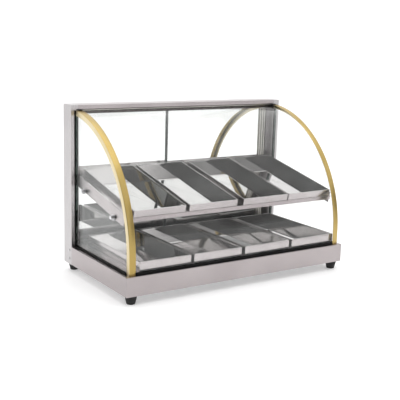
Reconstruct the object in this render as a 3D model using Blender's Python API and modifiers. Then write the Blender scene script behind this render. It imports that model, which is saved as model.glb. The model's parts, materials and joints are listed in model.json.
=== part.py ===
"""Heated countertop display case: curved front glass, two rows of trays, sliding mirror doors at the back.

Everything is modelled in the case's own frame, which hangs on one empty: X runs from the left side to the
right side as the customer sees it, Y from the front of the base to the back, Z up from the underside of the
base. The empty stands the case on its feet with the origin on the floor, under the middle of the whole.
"""
import math

import bmesh
import bpy
from mathutils import Euler, Matrix, Vector

# Case and sheet metal
CASE_WIDTH = 0.700
CASE_DEPTH = 0.367
BASE_HEIGHT = 0.0508
FRAME_HEIGHT = 0.438
SHEET = 0.0012
BEND_RADIUS = 0.0015
TOP_FLANGE = 0.024
BOTTOM_FLANGE = 0.040
FIT = 0.0003
OVERRUN = 0.005
MERGE_DISTANCE = 0.00003
EDGE_ANGLE = math.radians(50)
EDGE_STEPS = 2
SMOOTH_ANGLE = math.radians(35)

# Rear frame
POST_DEPTH = 0.0494
POST_FRONT_LIP = 0.0215
POST_REAR_LIP = 0.030
BEAM_LIP = 0.011

# Door tracks and doors
TRACK_SETBACK = 0.0179
TRACK_FIN = 0.0016
TRACK_SLOT = 0.0064
UPPER_TRACK_HEIGHT = 0.0238
LOWER_TRACK_HEIGHT = 0.0097
DOOR_GLASS = 0.004
DOOR_END_GAP = 0.004
DOOR_OVERLAP = 0.018
DOOR_LIFT_PLAY = 0.0084
RIGHT_DOOR_AJAR = 0.029
PULL_WIDTH = 0.030
PULL_WALL = 0.0007
PULL_WEB = 0.001
PULL_RIB = 0.0006
PULL_RIB_WIDTH = 0.003
PULL_RIB_COUNT = 3
PULL_END_GAP = 0.0011

# Glazing: a straight foot, then one arc that ends short of the beam
GLASS = 0.003
GLAZING_FOOT = 0.0353
GLAZING_TOP_GAP = 0.00276
GLAZING_BACK_GAP = 0.00544
ARC_STEPS = 24
TRIM_SIDE = 0.0112
TRIM_FRONT = 0.0077
TRIM_SHEET = 0.0012
TRIM_FRONT_FLANGE = 0.018
TRIM_SIDE_FLANGE = 0.014

# Black seals
SIDE_SEAL_WIDTH = 0.0092
SIDE_SEAL_HEIGHT = 0.003
SEAL_FLOOR = 0.001
POST_SEAL_DEPTH = 0.0021
FRONT_SEAL_NOSE = 0.0034
FRONT_SEAL_WALL = 0.0017
FRONT_SEAL_HEIGHT = 0.006

# Trays: a row's trays lie loose and leave its play free; each gap lies to the left of its tray
TRAY_COUNT = 4
TRAY_ROW_PLAY = 0.0584
TRAY_BACK_GAP = 0.0026
TRAY_FRONT_GAP = 0.0013
TRAY_HEIGHT = 0.0285
TRAY_WALL = 0.001
TRAY_HEM = 0.0022
TRAY_HEM_HEIGHT = 0.0045
LOWER_TRAY_GAPS = (0.0252, 0.0085, 0.0105, 0.0095)
UPPER_TRAY_GAPS = (0.0217, 0.011, 0.020, 0.003)

# Tilted rack under the upper trays; its frame starts at the trays' lower front edge
RACK_SLOPE = math.radians(11.8)
RACK_FRONT = 0.0461
RACK_LEVEL = 0.1773
RAIL_FLANGE = 0.015
RAIL_UPSTAND = 0.010
RAIL_DROP = 0.010
RAIL_REAR_INSET = 0.003
RAIL_REAR_FLANGE = 0.028
SIDE_BAR_FLANGE = 0.015
SIDE_BAR_DROP = 0.013
SIDE_BAR_INSET = 0.002
RACK_BOLT_FRONT = 0.050
RACK_BOLT_REAR_INSET = 0.0502
RACK_BOLT_LEVEL = 0.0075
RACK_BOLT_RADIUS = 0.0025
RACK_BOLT_HEAD_RADIUS = 0.008
RACK_BOLT_HEAD = 0.009
RACK_BOLT_HEAD_SKIRT = 0.004
RACK_BOLT_END = 0.004
DOME_STEPS = 5
BOLT_HOLE_PLAY = 0.0006

# Feet
FOOT_HEIGHT = 0.022
FOOT_TOP_RADIUS = 0.016
FOOT_BOTTOM_RADIUS = 0.011
FOOT_SIDE = 0.022
FOOT_END = 0.018
FOOT_STEM_RADIUS = 0.003
FOOT_BARB_RADIUS = 0.0045
FOOT_BARB_HEIGHT = 0.005

# Case screws
SCREW_RADIUS = 0.0015
SCREW_HEAD_RADIUS = 0.003
SCREW_HEAD = 0.0016
SCREW_LENGTH = 0.006
POST_SCREW_SETBACK = 0.0154
POST_SCREW_LEVELS = (("lower", 0.0162), ("upper", 0.0395))

# Deck and bottom plate vents
VENT_LENGTH = 0.050
VENT_WIDTH = 0.004
VENT_PITCH = 0.060
VENT_MARGIN = 0.040
VENT_ROW_OFFSET = 0.070
VENT_END_STEPS = 4
PLATE_OVERLAP = 0.010

# Heater and its insulation; left and right places are measured from their own side
BOARD_SIDE = 0.060
BOARD_FRONT = 0.045
BOARD_BACK_GAP = 0.0176
BOARD_THICKNESS = 0.006
HEATER_RADIUS = 0.00325
HEATER_LEVEL = 0.030
HEATER_LEFT_BEND = 0.110
HEATER_RIGHT_BEND = 0.140
HEATER_END_INSET = 0.100
HEATER_FRONT_MARGIN = 0.035
HEATER_BACK_MARGIN = 0.070
HEATER_RUNS = 4
HEATER_BEND_STEPS = 8
HEATER_BRACKET_PLACES = (("left", 0.180), ("right", 0.220))
HEATER_BRACKET_MARGIN = 0.018
HEATER_BRACKET_CROWN = 0.009
HEATER_BRACKET_FOOT = 0.012
HEATER_HOLE_PLAY = 0.0007

# Controls on the rear panel, measured from the case's right side
GLAND_INSET = 0.060
KNOB_INSET = 0.125
LAMP_INSET = 0.185
SWITCH_INSET = 0.245
BUSHING_RADIUS = 0.0048
BUSHING_REACH = 0.0015
SHAFT_RADIUS = 0.003
SHAFT_DEPTH = 0.014
SHAFT_IN_KNOB = 0.010
KNOB_RADIUS = 0.019
KNOB_LENGTH = 0.015
KNOB_SKIRT = 0.004
KNOB_GRIP_WIDTH = 0.010
KNOB_GRIP_ROUNDING = 0.0025
THERMOSTAT_WIDTH = 0.040
THERMOSTAT_DEPTH = 0.024
THERMOSTAT_HEIGHT = 0.034
SWITCH_BEZEL_WIDTH = 0.022
SWITCH_BEZEL_HEIGHT = 0.031
SWITCH_BEZEL = 0.002
SWITCH_BODY_WIDTH = 0.018
SWITCH_BODY_HEIGHT = 0.027
SWITCH_BODY_DEPTH = 0.020
ROCKER_WIDTH = 0.0145
ROCKER_RADIUS = 0.012
ROCKER_PLAY = 0.0004
ROCKER_PIVOT_DEPTH = 0.003
ROCKER_TILT = math.radians(8.0)
ROCKER_OUTLINE_SHARES = ((0.47, 0.0), (0.583, 0.81), (0.083, 0.9), (-0.333, 0.5),
                         (-0.333, -0.5), (0.083, -0.9), (0.583, -0.81))
LAMP_RADIUS = 0.005
LAMP_FLANGE_RADIUS = 0.0065
LAMP_FLANGE = 0.0015
LAMP_DEPTH = 0.018
LENS_RADIUS = 0.0042
LENS_SEAT = 0.002
LENS_REACH = 0.0035
GLAND_NECK_RADIUS = 0.0078
GLAND_COLLAR_RADIUS = 0.0105
GLAND_COLLAR = 0.005
GLAND_CAP_RADIUS = 0.009
GLAND_CAP = 0.007
GLAND_DEPTH = 0.010
GLAND_BORE_RADIUS = 0.004
GLAND_MOUTH_RADIUS = 0.006
TERMINAL_INSET = 0.094
TERMINAL_WIDTH = 0.048
TERMINAL_SETBACK = 0.0343
TERMINAL_DEPTH = 0.018
TERMINAL_HEIGHT = 0.012
TERMINAL_GROOVE = 0.002
TERMINAL_GROOVE_DEPTH = 0.005
TERMINAL_POLES = 4

# Wires and the thermostat's sensing bulb
WIRE_RADIUS = 0.0012
WIRE_RUN_LEVEL = 0.040
WIRE_END_GAP = 0.0007
SLEEVE_RADIUS = 0.004
CAPILLARY_RADIUS = 0.001
BULB_RADIUS = 0.003
BULB_FROM_KNOB = 0.065
BULB_LENGTH = 0.080
BULB_SETBACK = 0.020
BULB_SHOULDER = 0.002
ROUTE_STEPS = 5
WIRE_EYE_UPPER = 0.032
WIRE_EYE_LOWER = 0.018
WIRE_INSET = 0.010

ROUND_SIDES = 24
SMALL_ROUND_SIDES = 16
TUBE_RESOLUTION = 2

# Places worked out from the sizes above
POST_FRONT = CASE_DEPTH - POST_DEPTH
TRACK_FRONT = POST_FRONT + TRACK_SETBACK
FRONT_SLOT_Y = TRACK_FRONT + TRACK_FIN + TRACK_SLOT / 2
REAR_SLOT_Y = FRONT_SLOT_Y + TRACK_SLOT + TRACK_FIN
PANEL_FACE = CASE_DEPTH - SHEET - FIT
PANEL_BACK = PANEL_FACE - SHEET
PANEL_FRONT = POST_FRONT + SHEET + FIT
PANEL_SIDE = SHEET + FIT
CONTROL_LEVEL = BASE_HEIGHT / 2
KNOB_BACK = PANEL_FACE + BUSHING_REACH + FIT
KNOB_REACH = KNOB_BACK + KNOB_LENGTH - CASE_DEPTH
GLAZING_ARC_START = BASE_HEIGHT + GLAZING_FOOT
GLAZING_RISE = FRAME_HEIGHT - BEAM_LIP - GLAZING_TOP_GAP - GLAZING_ARC_START
GLAZING_REACH = POST_FRONT - GLAZING_BACK_GAP - TRIM_FRONT
GLAZING_ARC = 2 * math.atan(GLAZING_REACH / GLAZING_RISE)
GLAZING_RADIUS = GLAZING_REACH / (1 - math.cos(GLAZING_ARC))
GLAZING_CENTRE_Y = TRIM_FRONT + GLAZING_RADIUS
PANE_RADIUS = GLAZING_RADIUS - TRIM_SHEET - FIT
PANE_FRONT = GLAZING_CENTRE_Y - PANE_RADIUS
SIDE_GLASS_X = TRIM_SIDE + TRIM_SHEET + FIT
SIDE_GLASS_INNER = SIDE_GLASS_X + GLASS
SEAL_LEVEL = BASE_HEIGHT + FIT
GLASS_LEVEL = SEAL_LEVEL + SEAL_FLOOR + FIT
FRONT_SEAL_Y = PANE_FRONT - FIT - FRONT_SEAL_NOSE
FRONT_SEAL_BACK = PANE_FRONT + GLASS + FIT + FRONT_SEAL_WALL
DECK_TOP = BASE_HEIGHT + FIT + SHEET
POST_SEAL_Y = POST_FRONT - FIT - POST_SEAL_DEPTH
RAIL_X = SIDE_GLASS_INNER + FIT
TRACK_TOP = FRAME_HEIGHT - SHEET - FIT
DOOR_LEVEL = SEAL_LEVEL + TRACK_FIN + FIT
DOOR_HEIGHT = TRACK_TOP - TRACK_FIN - DOOR_LIFT_PLAY - DOOR_LEVEL
DOOR_WIDTH = CASE_WIDTH / 2 - DOOR_END_GAP + DOOR_OVERLAP / 2
TRAY_ROW_SIDE = SIDE_GLASS_X + GLASS / 2 + SIDE_SEAL_WIDTH / 2
TRAY_WIDTH = (CASE_WIDTH - 2 * TRAY_ROW_SIDE - TRAY_ROW_PLAY) / TRAY_COUNT
TRAY_LENGTH = (TRACK_FRONT - TRAY_BACK_GAP - RACK_FRONT) / math.cos(RACK_SLOPE)
RACK_UNDER = FIT + SHEET
RACK_DEPTH = RACK_UNDER + FIT + SIDE_BAR_DROP
RACK_REACH = POST_SEAL_Y - FIT - RACK_FRONT - RACK_DEPTH * math.sin(RACK_SLOPE)
SIDE_BAR_END = RACK_REACH / math.cos(RACK_SLOPE) - FIT
RACK_BOLT_PLACES = (RACK_BOLT_FRONT, SIDE_BAR_END - RACK_BOLT_REAR_INSET)
BOARD_LEVEL = SHEET + FIT + SHEET + FIT
BOARD_BACK = POST_FRONT - BOARD_BACK_GAP
HEATER_END = CASE_WIDTH - HEATER_END_INSET
HEATER_FIRST_RUN = BOARD_FRONT + HEATER_FRONT_MARGIN
HEATER_PITCH = (BOARD_BACK - HEATER_BACK_MARGIN - HEATER_FIRST_RUN) / (HEATER_RUNS - 1)
KNOB_X = CASE_WIDTH - KNOB_INSET
LAMP_X = CASE_WIDTH - LAMP_INSET
SWITCH_X = CASE_WIDTH - SWITCH_INSET
GLAND_X = CASE_WIDTH - GLAND_INSET
TERMINAL_LEFT = CASE_WIDTH - TERMINAL_INSET
TERMINAL_FRONT = PANEL_BACK - TERMINAL_SETBACK

case_pieces = bpy.data.collections.new("heated_display_case")
guides = bpy.data.collections.new("cutters")


# Materials
def finish(name, colour, roughness, metallic=0.0, alpha=1.0):
    material = bpy.data.materials.new(name)
    material.use_nodes = True
    shader = material.node_tree.nodes["Principled BSDF"]
    shader.inputs["Base Color"].default_value = (*colour, 1.0)
    shader.inputs["Roughness"].default_value = roughness
    shader.inputs["Metallic"].default_value = metallic
    shader.inputs["Alpha"].default_value = alpha
    material.diffuse_color = (*colour, alpha)
    return material


def make_finishes():
    return {
        "satin_steel": finish("satin_steel", (0.72, 0.70, 0.69), 0.35, 1.0),
        "galvanised_steel": finish("galvanised_steel", (0.60, 0.62, 0.63), 0.45, 1.0),
        "polished_steel": finish("polished_steel", (0.78, 0.78, 0.78), 0.08, 1.0),
        "chrome": finish("chrome", (0.85, 0.85, 0.86), 0.05, 1.0),
        "gold_anodised": finish("gold_anodised", (0.77, 0.58, 0.25), 0.25, 1.0),
        "clear_glass": finish("clear_glass", (0.90, 0.95, 0.93), 0.03, 0.0, 0.3),
        "mirror_glass": finish("mirror_glass", (0.88, 0.90, 0.90), 0.02, 1.0),
        "black_seal": finish("black_seal", (0.02, 0.02, 0.02), 0.6),
        "track_black": finish("track_black", (0.05, 0.05, 0.05), 0.45),
        "satin_aluminium": finish("satin_aluminium", (0.66, 0.66, 0.67), 0.35, 1.0),
        "foot_rubber": finish("foot_rubber", (0.015, 0.015, 0.015), 0.8),
        "black_plastic": finish("black_plastic", (0.03, 0.03, 0.03), 0.4),
        "heater_sheath": finish("heater_sheath", (0.32, 0.31, 0.30), 0.5, 1.0),
        "insulation": finish("insulation", (0.85, 0.83, 0.78), 0.95),
        "copper": finish("copper", (0.75, 0.42, 0.26), 0.3, 1.0),
        "amber_lens": finish("amber_lens", (0.90, 0.35, 0.05), 0.1),
        "white_plastic": finish("white_plastic", (0.85, 0.85, 0.82), 0.4),
        "wire_insulation": finish("wire_insulation", (0.55, 0.10, 0.08), 0.5),
    }


# Building helpers
def add_object(name, data, parent, material=None, collection=None):
    piece = bpy.data.objects.new(name, data)
    (collection or case_pieces).objects.link(piece)
    piece.parent = parent
    if material is not None:
        data.materials.append(material)
    return piece


def as_guide(piece):
    piece.hide_render = True
    piece.display_type = "WIRE"
    return piece


def box_mesh(name, low, high):
    low, high = Vector(low), Vector(high)
    mesh = bpy.data.meshes.new(name)
    shape = bmesh.new()
    placed = Matrix.Translation((low + high) / 2) @ Matrix.Diagonal((*(high - low), 1.0))
    bmesh.ops.create_cube(shape, size=1.0, matrix=placed)
    shape.to_mesh(mesh)
    shape.free()
    return mesh


def add_box(name, low, high, parent, material):
    return add_object(name, box_mesh(name, low, high), parent, material)


def add_guide_box(name, low, high, parent):
    return as_guide(add_object(name, box_mesh(name, low, high), parent, collection=guides))


def rod_mesh(name, start, end, radius, sides=SMALL_ROUND_SIDES):
    start, end = Vector(start), Vector(end)
    mesh = bpy.data.meshes.new(name)
    shape = bmesh.new()
    turn = Vector((0, 0, 1)).rotation_difference(end - start).to_matrix().to_4x4()
    bmesh.ops.create_cone(shape, cap_ends=True, segments=sides, radius1=radius, radius2=radius,
                          depth=(end - start).length, matrix=Matrix.Translation((start + end) / 2) @ turn)
    shape.to_mesh(mesh)
    shape.free()
    return mesh


def add_guide_rod(name, start, end, radius, parent, sides=SMALL_ROUND_SIDES):
    return as_guide(add_object(name, rod_mesh(name, start, end, radius, sides), parent, collection=guides))


def combine(piece, other, operation):
    modifier = piece.modifiers.new(other.name, "BOOLEAN")
    modifier.operation = operation
    modifier.solver = "EXACT"
    modifier.object = other


def cut(piece, cutter):
    combine(piece, cutter, "DIFFERENCE")


def join(piece, other):
    combine(piece, other, "UNION")


def round_edges(piece, width):
    modifier = piece.modifiers.new("rounded_edges", "BEVEL")
    modifier.width = width
    modifier.segments = EDGE_STEPS
    modifier.limit_method = "ANGLE"
    modifier.angle_limit = EDGE_ANGLE


def shade_round(mesh):
    mesh.shade_smooth()
    mesh.set_sharp_from_angle(angle=SMOOTH_ANGLE)


def thicken(piece, thickness):
    modifier = piece.modifiers.new("thickness", "SOLIDIFY")
    modifier.thickness = thickness
    modifier.offset = -1.0
    modifier.use_even_offset = True


def section_edges(shape, points):
    corners = [shape.verts.new(point) for point in points]
    return [shape.edges.new(pair) for pair in zip(corners, corners[1:])]


def face_away(shape, inside):
    bmesh.ops.recalc_face_normals(shape, faces=shape.faces)
    shape.faces.ensure_lookup_table()
    first = shape.faces[0]
    if first.normal.dot(Vector(inside) - first.calc_center_median()) > 0:
        bmesh.ops.reverse_faces(shape, faces=shape.faces)


def add_folded_sheet(name, points, run, inside, thickness, parent, material):
    """A bent strip: its outer face follows the points and runs one way; inside is on the wall's side."""
    mesh = bpy.data.meshes.new(name)
    shape = bmesh.new()
    edges = section_edges(shape, points)
    made = bmesh.ops.extrude_edge_only(shape, edges=edges)["geom"]
    moved = [item for item in made if isinstance(item, bmesh.types.BMVert)]
    bmesh.ops.translate(shape, verts=moved, vec=Vector(run))
    face_away(shape, inside)
    shape.to_mesh(mesh)
    shape.free()
    piece = add_object(name, mesh, parent, material)
    thicken(piece, thickness)
    return piece


def add_glazing_sweep(name, points, inside, thickness, parent, material):
    """A sheet that rises straight from its foot and then follows the glazing's arc about X."""
    mesh = bpy.data.meshes.new(name)
    shape = bmesh.new()
    edges = section_edges(shape, points)
    made = bmesh.ops.extrude_edge_only(shape, edges=edges)["geom"]
    moved = [item for item in made if isinstance(item, bmesh.types.BMVert)]
    rise = GLAZING_ARC_START - points[0][2]
    bmesh.ops.translate(shape, verts=moved, vec=(0, 0, rise))
    last = [item for item in made if not isinstance(item, bmesh.types.BMFace)]
    centre = (0, GLAZING_CENTRE_Y, GLAZING_ARC_START)
    bmesh.ops.spin(shape, geom=last, cent=centre, axis=(1, 0, 0), angle=-GLAZING_ARC, steps=ARC_STEPS)
    bmesh.ops.remove_doubles(shape, verts=shape.verts, dist=MERGE_DISTANCE)
    face_away(shape, inside)
    shape.to_mesh(mesh)
    shape.free()
    shade_round(mesh)
    piece = add_object(name, mesh, parent, material)
    thicken(piece, thickness)
    return piece


def add_plate(name, outline, thickness, parent, material, holes=(), across="z", place=(0, 0, 0)):
    """A flat outline given in the plate's own plane; across names the case direction of its thickness."""
    data = bpy.data.curves.new(name, "CURVE")
    data.dimensions = "2D"
    data.fill_mode = "BOTH"
    data.extrude = thickness / 2
    for loop in (outline, *holes):
        spline = data.splines.new("POLY")
        spline.points.add(len(loop) - 1)
        spline.use_cyclic_u = True
        for point, (first, second) in zip(spline.points, loop):
            point.co = (first, second, 0, 1)
    piece = add_object(name, data, parent, material)
    turns = {"z": (0, 0, 0), "x": (math.pi / 2, 0, math.pi / 2)}
    piece.rotation_euler = Euler(turns[across])
    piece.location = place
    return piece


def ring(centre, radius, sides=SMALL_ROUND_SIDES):
    steps = [2 * math.pi * step / sides for step in range(sides)]
    return [(centre[0] + radius * math.cos(turn), centre[1] + radius * math.sin(turn)) for turn in steps]


def slot_outline(centre, length, width):
    half = length / 2 - width / 2
    points = []
    for middle, start in ((centre[0] + half, -math.pi / 2), (centre[0] - half, math.pi / 2)):
        for step in range(VENT_END_STEPS + 1):
            turn = start + math.pi * step / VENT_END_STEPS
            points.append((middle + width / 2 * math.cos(turn), centre[1] + width / 2 * math.sin(turn)))
    return points


def rectangle(low, high):
    return [low, (high[0], low[1]), high, (low[0], high[1])]


def add_turned(name, profile, parent, material, place=(0, 0, 0), turn=(0, 0, 0), sides=ROUND_SIDES,
               closed=False):
    """A turned piece from radius and height pairs down its outer side, and back up its bore if closed."""
    mesh = bpy.data.meshes.new(name)
    corners = [(radius, 0, height) for radius, height in profile]
    edges = [(index, index + 1) for index in range(len(corners) - 1)]
    if closed:
        edges.append((len(corners) - 1, 0))
    mesh.from_pydata(corners, edges, [])
    piece = add_object(name, mesh, parent, material)
    modifier = piece.modifiers.new("turned", "SCREW")
    modifier.steps = sides
    modifier.render_steps = sides
    modifier.use_merge_vertices = True
    modifier.merge_threshold = MERGE_DISTANCE
    modifier.use_normal_calculate = False
    piece.location = place
    piece.rotation_euler = Euler(turn)
    return piece


def baked_mesh(piece):
    """The evaluated shape of a piece in its own frame; the piece and its cutters are removed."""
    bpy.context.view_layer.update()
    evaluated = piece.evaluated_get(bpy.context.evaluated_depsgraph_get())
    mesh = bpy.data.meshes.new_from_object(evaluated)
    used = [modifier.object for modifier in piece.modifiers if modifier.type == "BOOLEAN"]
    for item in (piece, *used):
        bpy.data.objects.remove(item)
    shape = bmesh.new()
    shape.from_mesh(mesh)
    bmesh.ops.remove_doubles(shape, verts=shape.verts, dist=MERGE_DISTANCE)
    shape.to_mesh(mesh)
    shape.free()
    return mesh


def add_tube(name, points, radius, parent, material):
    """One round tube; a point's fourth number, if it has one, is its share of the radius."""
    data = bpy.data.curves.new(name, "CURVE")
    data.dimensions = "3D"
    data.bevel_depth = radius
    data.bevel_resolution = TUBE_RESOLUTION
    data.use_fill_caps = True
    spline = data.splines.new("POLY")
    spline.points.add(len(points) - 1)
    for knot, point in zip(spline.points, points):
        knot.co = (*point[:3], 1)
        knot.radius = point[3] if len(point) > 3 else 1
    return add_object(name, data, parent, material)


def toward(direction):
    """The turn that points a piece's own Z along a direction."""
    return Vector((0, 0, 1)).rotation_difference(Vector(direction)).to_euler()


def from_side(side, distance):
    return distance if side == "left" else CASE_WIDTH - distance


def span(side, near, far):
    return sorted((from_side(side, near), from_side(side, far)))


def dome(radius, base, rise):
    """Profile points from a dome's tip down to its edge."""
    turns = [math.pi / 2 * step / DOME_STEPS for step in range(DOME_STEPS + 1)]
    return [(radius * math.sin(turn), base + rise * math.cos(turn)) for turn in turns]


def add_screw(name, profile, point, direction, parent, material):
    """A turned screw: its seat is at zero, its head above, and the head points along the direction."""
    add_turned(name, profile, parent, material, place=point, turn=toward(direction), sides=SMALL_ROUND_SIDES)


# Base
def make_base_shell(case, finishes):
    rear = POST_FRONT - FIT
    shell = add_box("base_shell", (0, 0, 0), (CASE_WIDTH, rear + OVERRUN, BASE_HEIGHT), case,
                    finishes["satin_steel"])
    round_edges(shell, BEND_RADIUS)
    far = rear + 2 * OVERRUN
    cut(shell, add_guide_box("base_end_cut", (-OVERRUN, rear, -OVERRUN),
                             (CASE_WIDTH + OVERRUN, far, BASE_HEIGHT + OVERRUN), case))
    cut(shell, add_guide_box("base_cavity", (SHEET, SHEET, SHEET),
                             (CASE_WIDTH - SHEET, far, BASE_HEIGHT - SHEET), case))
    cut(shell, add_guide_box("base_top_opening", (TOP_FLANGE, TOP_FLANGE, BASE_HEIGHT / 2),
                             (CASE_WIDTH - TOP_FLANGE, far, BASE_HEIGHT + OVERRUN), case))
    cut(shell, add_guide_box("base_bottom_opening", (BOTTOM_FLANGE, BOTTOM_FLANGE, -OVERRUN),
                             (CASE_WIDTH - BOTTOM_FLANGE, far, BASE_HEIGHT / 2), case))
    for index, (x, y) in enumerate(foot_places()[:2]):
        cut(shell, add_guide_rod(f"base_foot_hole_{index}", (x, y, -OVERRUN), (x, y, OVERRUN),
                                 FOOT_STEM_RADIUS + FIT, case))


def vents(low, high):
    """Two rows of slots across a plate, as many as fit between its margins."""
    gaps = int((high[0] - low[0] - 2 * VENT_MARGIN - VENT_LENGTH) / VENT_PITCH)
    first = (low[0] + high[0] - VENT_PITCH * gaps) / 2
    middle = (low[1] + high[1]) / 2
    holes = []
    for row in (-1, 1):
        for column in range(gaps + 1):
            centre = (first + VENT_PITCH * column, middle + row * VENT_ROW_OFFSET)
            holes.append(slot_outline(centre, VENT_LENGTH, VENT_WIDTH))
    return holes


def make_deck_and_bottom(case, finishes):
    front = FRONT_SEAL_BACK + FIT
    side = POST_FRONT_LIP + FIT
    back = TRACK_FRONT - FIT
    low, high = (side, front), (CASE_WIDTH - side, back)
    add_plate("deck_plate", rectangle(low, high), SHEET, case, finishes["satin_steel"],
              holes=vents(low, high), place=(0, 0, DECK_TOP - SHEET / 2))
    edge = BOTTOM_FLANGE - PLATE_OVERLAP
    low, high = (edge, edge), (CASE_WIDTH - edge, PANEL_FRONT + PLATE_OVERLAP)
    add_plate("base_bottom_plate", rectangle(low, high), SHEET, case, finishes["galvanised_steel"],
              holes=vents(low, high), place=(0, 0, SHEET + FIT + SHEET / 2))


def make_rear_panel(case, finishes):
    panel = add_box("rear_panel", (PANEL_SIDE, PANEL_FRONT, 0),
                    (CASE_WIDTH - PANEL_SIDE, PANEL_FACE, BASE_HEIGHT), case, finishes["satin_steel"])
    cut(panel, add_guide_box("rear_panel_cavity", (PANEL_SIDE + SHEET, PANEL_FRONT - OVERRUN, SHEET),
                             (CASE_WIDTH - PANEL_SIDE - SHEET, PANEL_BACK, BASE_HEIGHT - SHEET), case))
    through = (PANEL_BACK - OVERRUN, PANEL_FACE + OVERRUN)
    holes = (("thermostat", KNOB_X, BUSHING_RADIUS), ("lamp", LAMP_X, LAMP_RADIUS),
             ("gland", GLAND_X, GLAND_NECK_RADIUS))
    for name, x, radius in holes:
        cut(panel, add_guide_rod(f"{name}_hole", (x, through[0], CONTROL_LEVEL),
                                 (x, through[1], CONTROL_LEVEL), radius + FIT, case, ROUND_SIDES))
    half_width = SWITCH_BODY_WIDTH / 2 + FIT
    half_height = SWITCH_BODY_HEIGHT / 2 + FIT
    cut(panel, add_guide_box("switch_hole",
                             (SWITCH_X - half_width, through[0], CONTROL_LEVEL - half_height),
                             (SWITCH_X + half_width, through[1], CONTROL_LEVEL + half_height), case))
    for index, (x, y) in enumerate(foot_places()[2:]):
        cut(panel, add_guide_rod(f"panel_foot_hole_{index}", (x, y, -OVERRUN), (x, y, OVERRUN),
                                 FOOT_STEM_RADIUS + FIT, case))
    for side in ("left", "right"):
        cut_screw_holes(panel, side, case)


def cut_screw_holes(piece, side, case):
    """Clearance holes for the side screws of one post."""
    y = POST_FRONT + POST_SCREW_SETBACK
    near, far = from_side(side, -OVERRUN), from_side(side, OVERRUN)
    for place, level in POST_SCREW_LEVELS:
        name = f"{piece.name}_{side}_{place}_hole"
        cut(piece, add_guide_rod(name, (near, y, level), (far, y, level), SCREW_RADIUS + FIT, case))


# Rear frame
def make_post(side, case, finishes):
    low, high = span(side, 0, POST_REAR_LIP)
    post = add_box(f"post_{side}", (low, POST_FRONT, 0), (high, CASE_DEPTH, FRAME_HEIGHT), case,
                   finishes["satin_steel"])
    low, high = span(side, SHEET, POST_REAR_LIP + OVERRUN)
    cut(post, add_guide_box(f"post_{side}_cavity", (low, POST_FRONT + SHEET, -OVERRUN),
                            (high, CASE_DEPTH - SHEET, FRAME_HEIGHT - SHEET), case))
    low, high = span(side, POST_FRONT_LIP, POST_REAR_LIP + OVERRUN)
    cut(post, add_guide_box(f"post_{side}_lip_cut", (low, POST_FRONT - OVERRUN, -OVERRUN),
                            (high, POST_FRONT + OVERRUN, FRAME_HEIGHT + OVERRUN), case))
    cut(post, add_guide_box(f"post_{side}_head_cut",
                            (low, POST_FRONT - OVERRUN, FRAME_HEIGHT - BEAM_LIP - FIT),
                            (high, CASE_DEPTH + OVERRUN, FRAME_HEIGHT + OVERRUN), case))
    cut_screw_holes(post, side, case)


def make_beam(case, finishes):
    start = POST_FRONT_LIP + FIT
    lip = FRAME_HEIGHT - BEAM_LIP
    points = [(start, POST_FRONT, lip), (start, POST_FRONT, FRAME_HEIGHT), (start, CASE_DEPTH, FRAME_HEIGHT),
              (start, CASE_DEPTH, lip)]
    inside = (CASE_WIDTH / 2, POST_FRONT + POST_DEPTH / 2, lip)
    add_folded_sheet("top_beam", points, (CASE_WIDTH - 2 * start, 0, 0), inside, SHEET, case,
                     finishes["satin_steel"])


def track_outline(height):
    """The comb section of a track, with its base at zero and its fins upwards."""
    width = 3 * TRACK_FIN + 2 * TRACK_SLOT
    points = [(0, 0), (width, 0)]
    for fin in (2, 1, 0):
        start = fin * (TRACK_FIN + TRACK_SLOT)
        points += [(start + TRACK_FIN, height), (start, height)]
        if fin:
            points += [(start, TRACK_FIN), (start - TRACK_SLOT, TRACK_FIN)]
    return points


def make_tracks(case, finishes):
    length = CASE_WIDTH - 2 * PANEL_SIDE
    add_plate("door_track_lower", track_outline(LOWER_TRACK_HEIGHT), length, case, finishes["track_black"],
              across="x", place=(CASE_WIDTH / 2, TRACK_FRONT, SEAL_LEVEL))
    hung = [(y, -z) for y, z in reversed(track_outline(UPPER_TRACK_HEIGHT))]
    add_plate("door_track_upper", hung, length, case, finishes["track_black"],
              across="x", place=(CASE_WIDTH / 2, TRACK_FRONT, TRACK_TOP))


# Doors
def pull_outline():
    """The pull's section: a channel that closes over the glass edge at zero, ribbed on both faces."""
    slot = DOOR_GLASS / 2 + FIT
    face = slot + PULL_WALL
    outer = -FIT - PULL_WEB
    gap = (PULL_WIDTH - PULL_RIB_COUNT * PULL_RIB_WIDTH) / (PULL_RIB_COUNT + 1)
    ribbed = []
    for rib in range(PULL_RIB_COUNT):
        start = outer + gap + rib * (gap + PULL_RIB_WIDTH)
        end = start + PULL_RIB_WIDTH
        ribbed += [(start, face), (start, face + PULL_RIB), (end, face + PULL_RIB), (end, face)]
    end = outer + PULL_WIDTH
    upper = [(outer, face), *ribbed, (end, face), (end, slot), (-FIT, slot)]
    lower = [(x, -y) for x, y in reversed(upper)]
    return upper + lower


def make_door(side, start, slot_y, case, finishes):
    add_box(f"door_{side}", (start, slot_y - DOOR_GLASS / 2, DOOR_LEVEL),
            (start + DOOR_WIDTH, slot_y + DOOR_GLASS / 2, DOOR_LEVEL + DOOR_HEIGHT), case,
            finishes["mirror_glass"])
    low = SEAL_LEVEL + LOWER_TRACK_HEIGHT + PULL_END_GAP
    high = TRACK_TOP - UPPER_TRACK_HEIGHT - PULL_END_GAP
    if side == "left":
        outline = [(start + x, slot_y + y) for x, y in pull_outline()]
    else:
        outline = [(start + DOOR_WIDTH - x, slot_y + y) for x, y in reversed(pull_outline())]
    add_plate(f"door_pull_{side}", outline, high - low, case, finishes["satin_aluminium"],
              place=(0, 0, (low + high) / 2))


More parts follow.
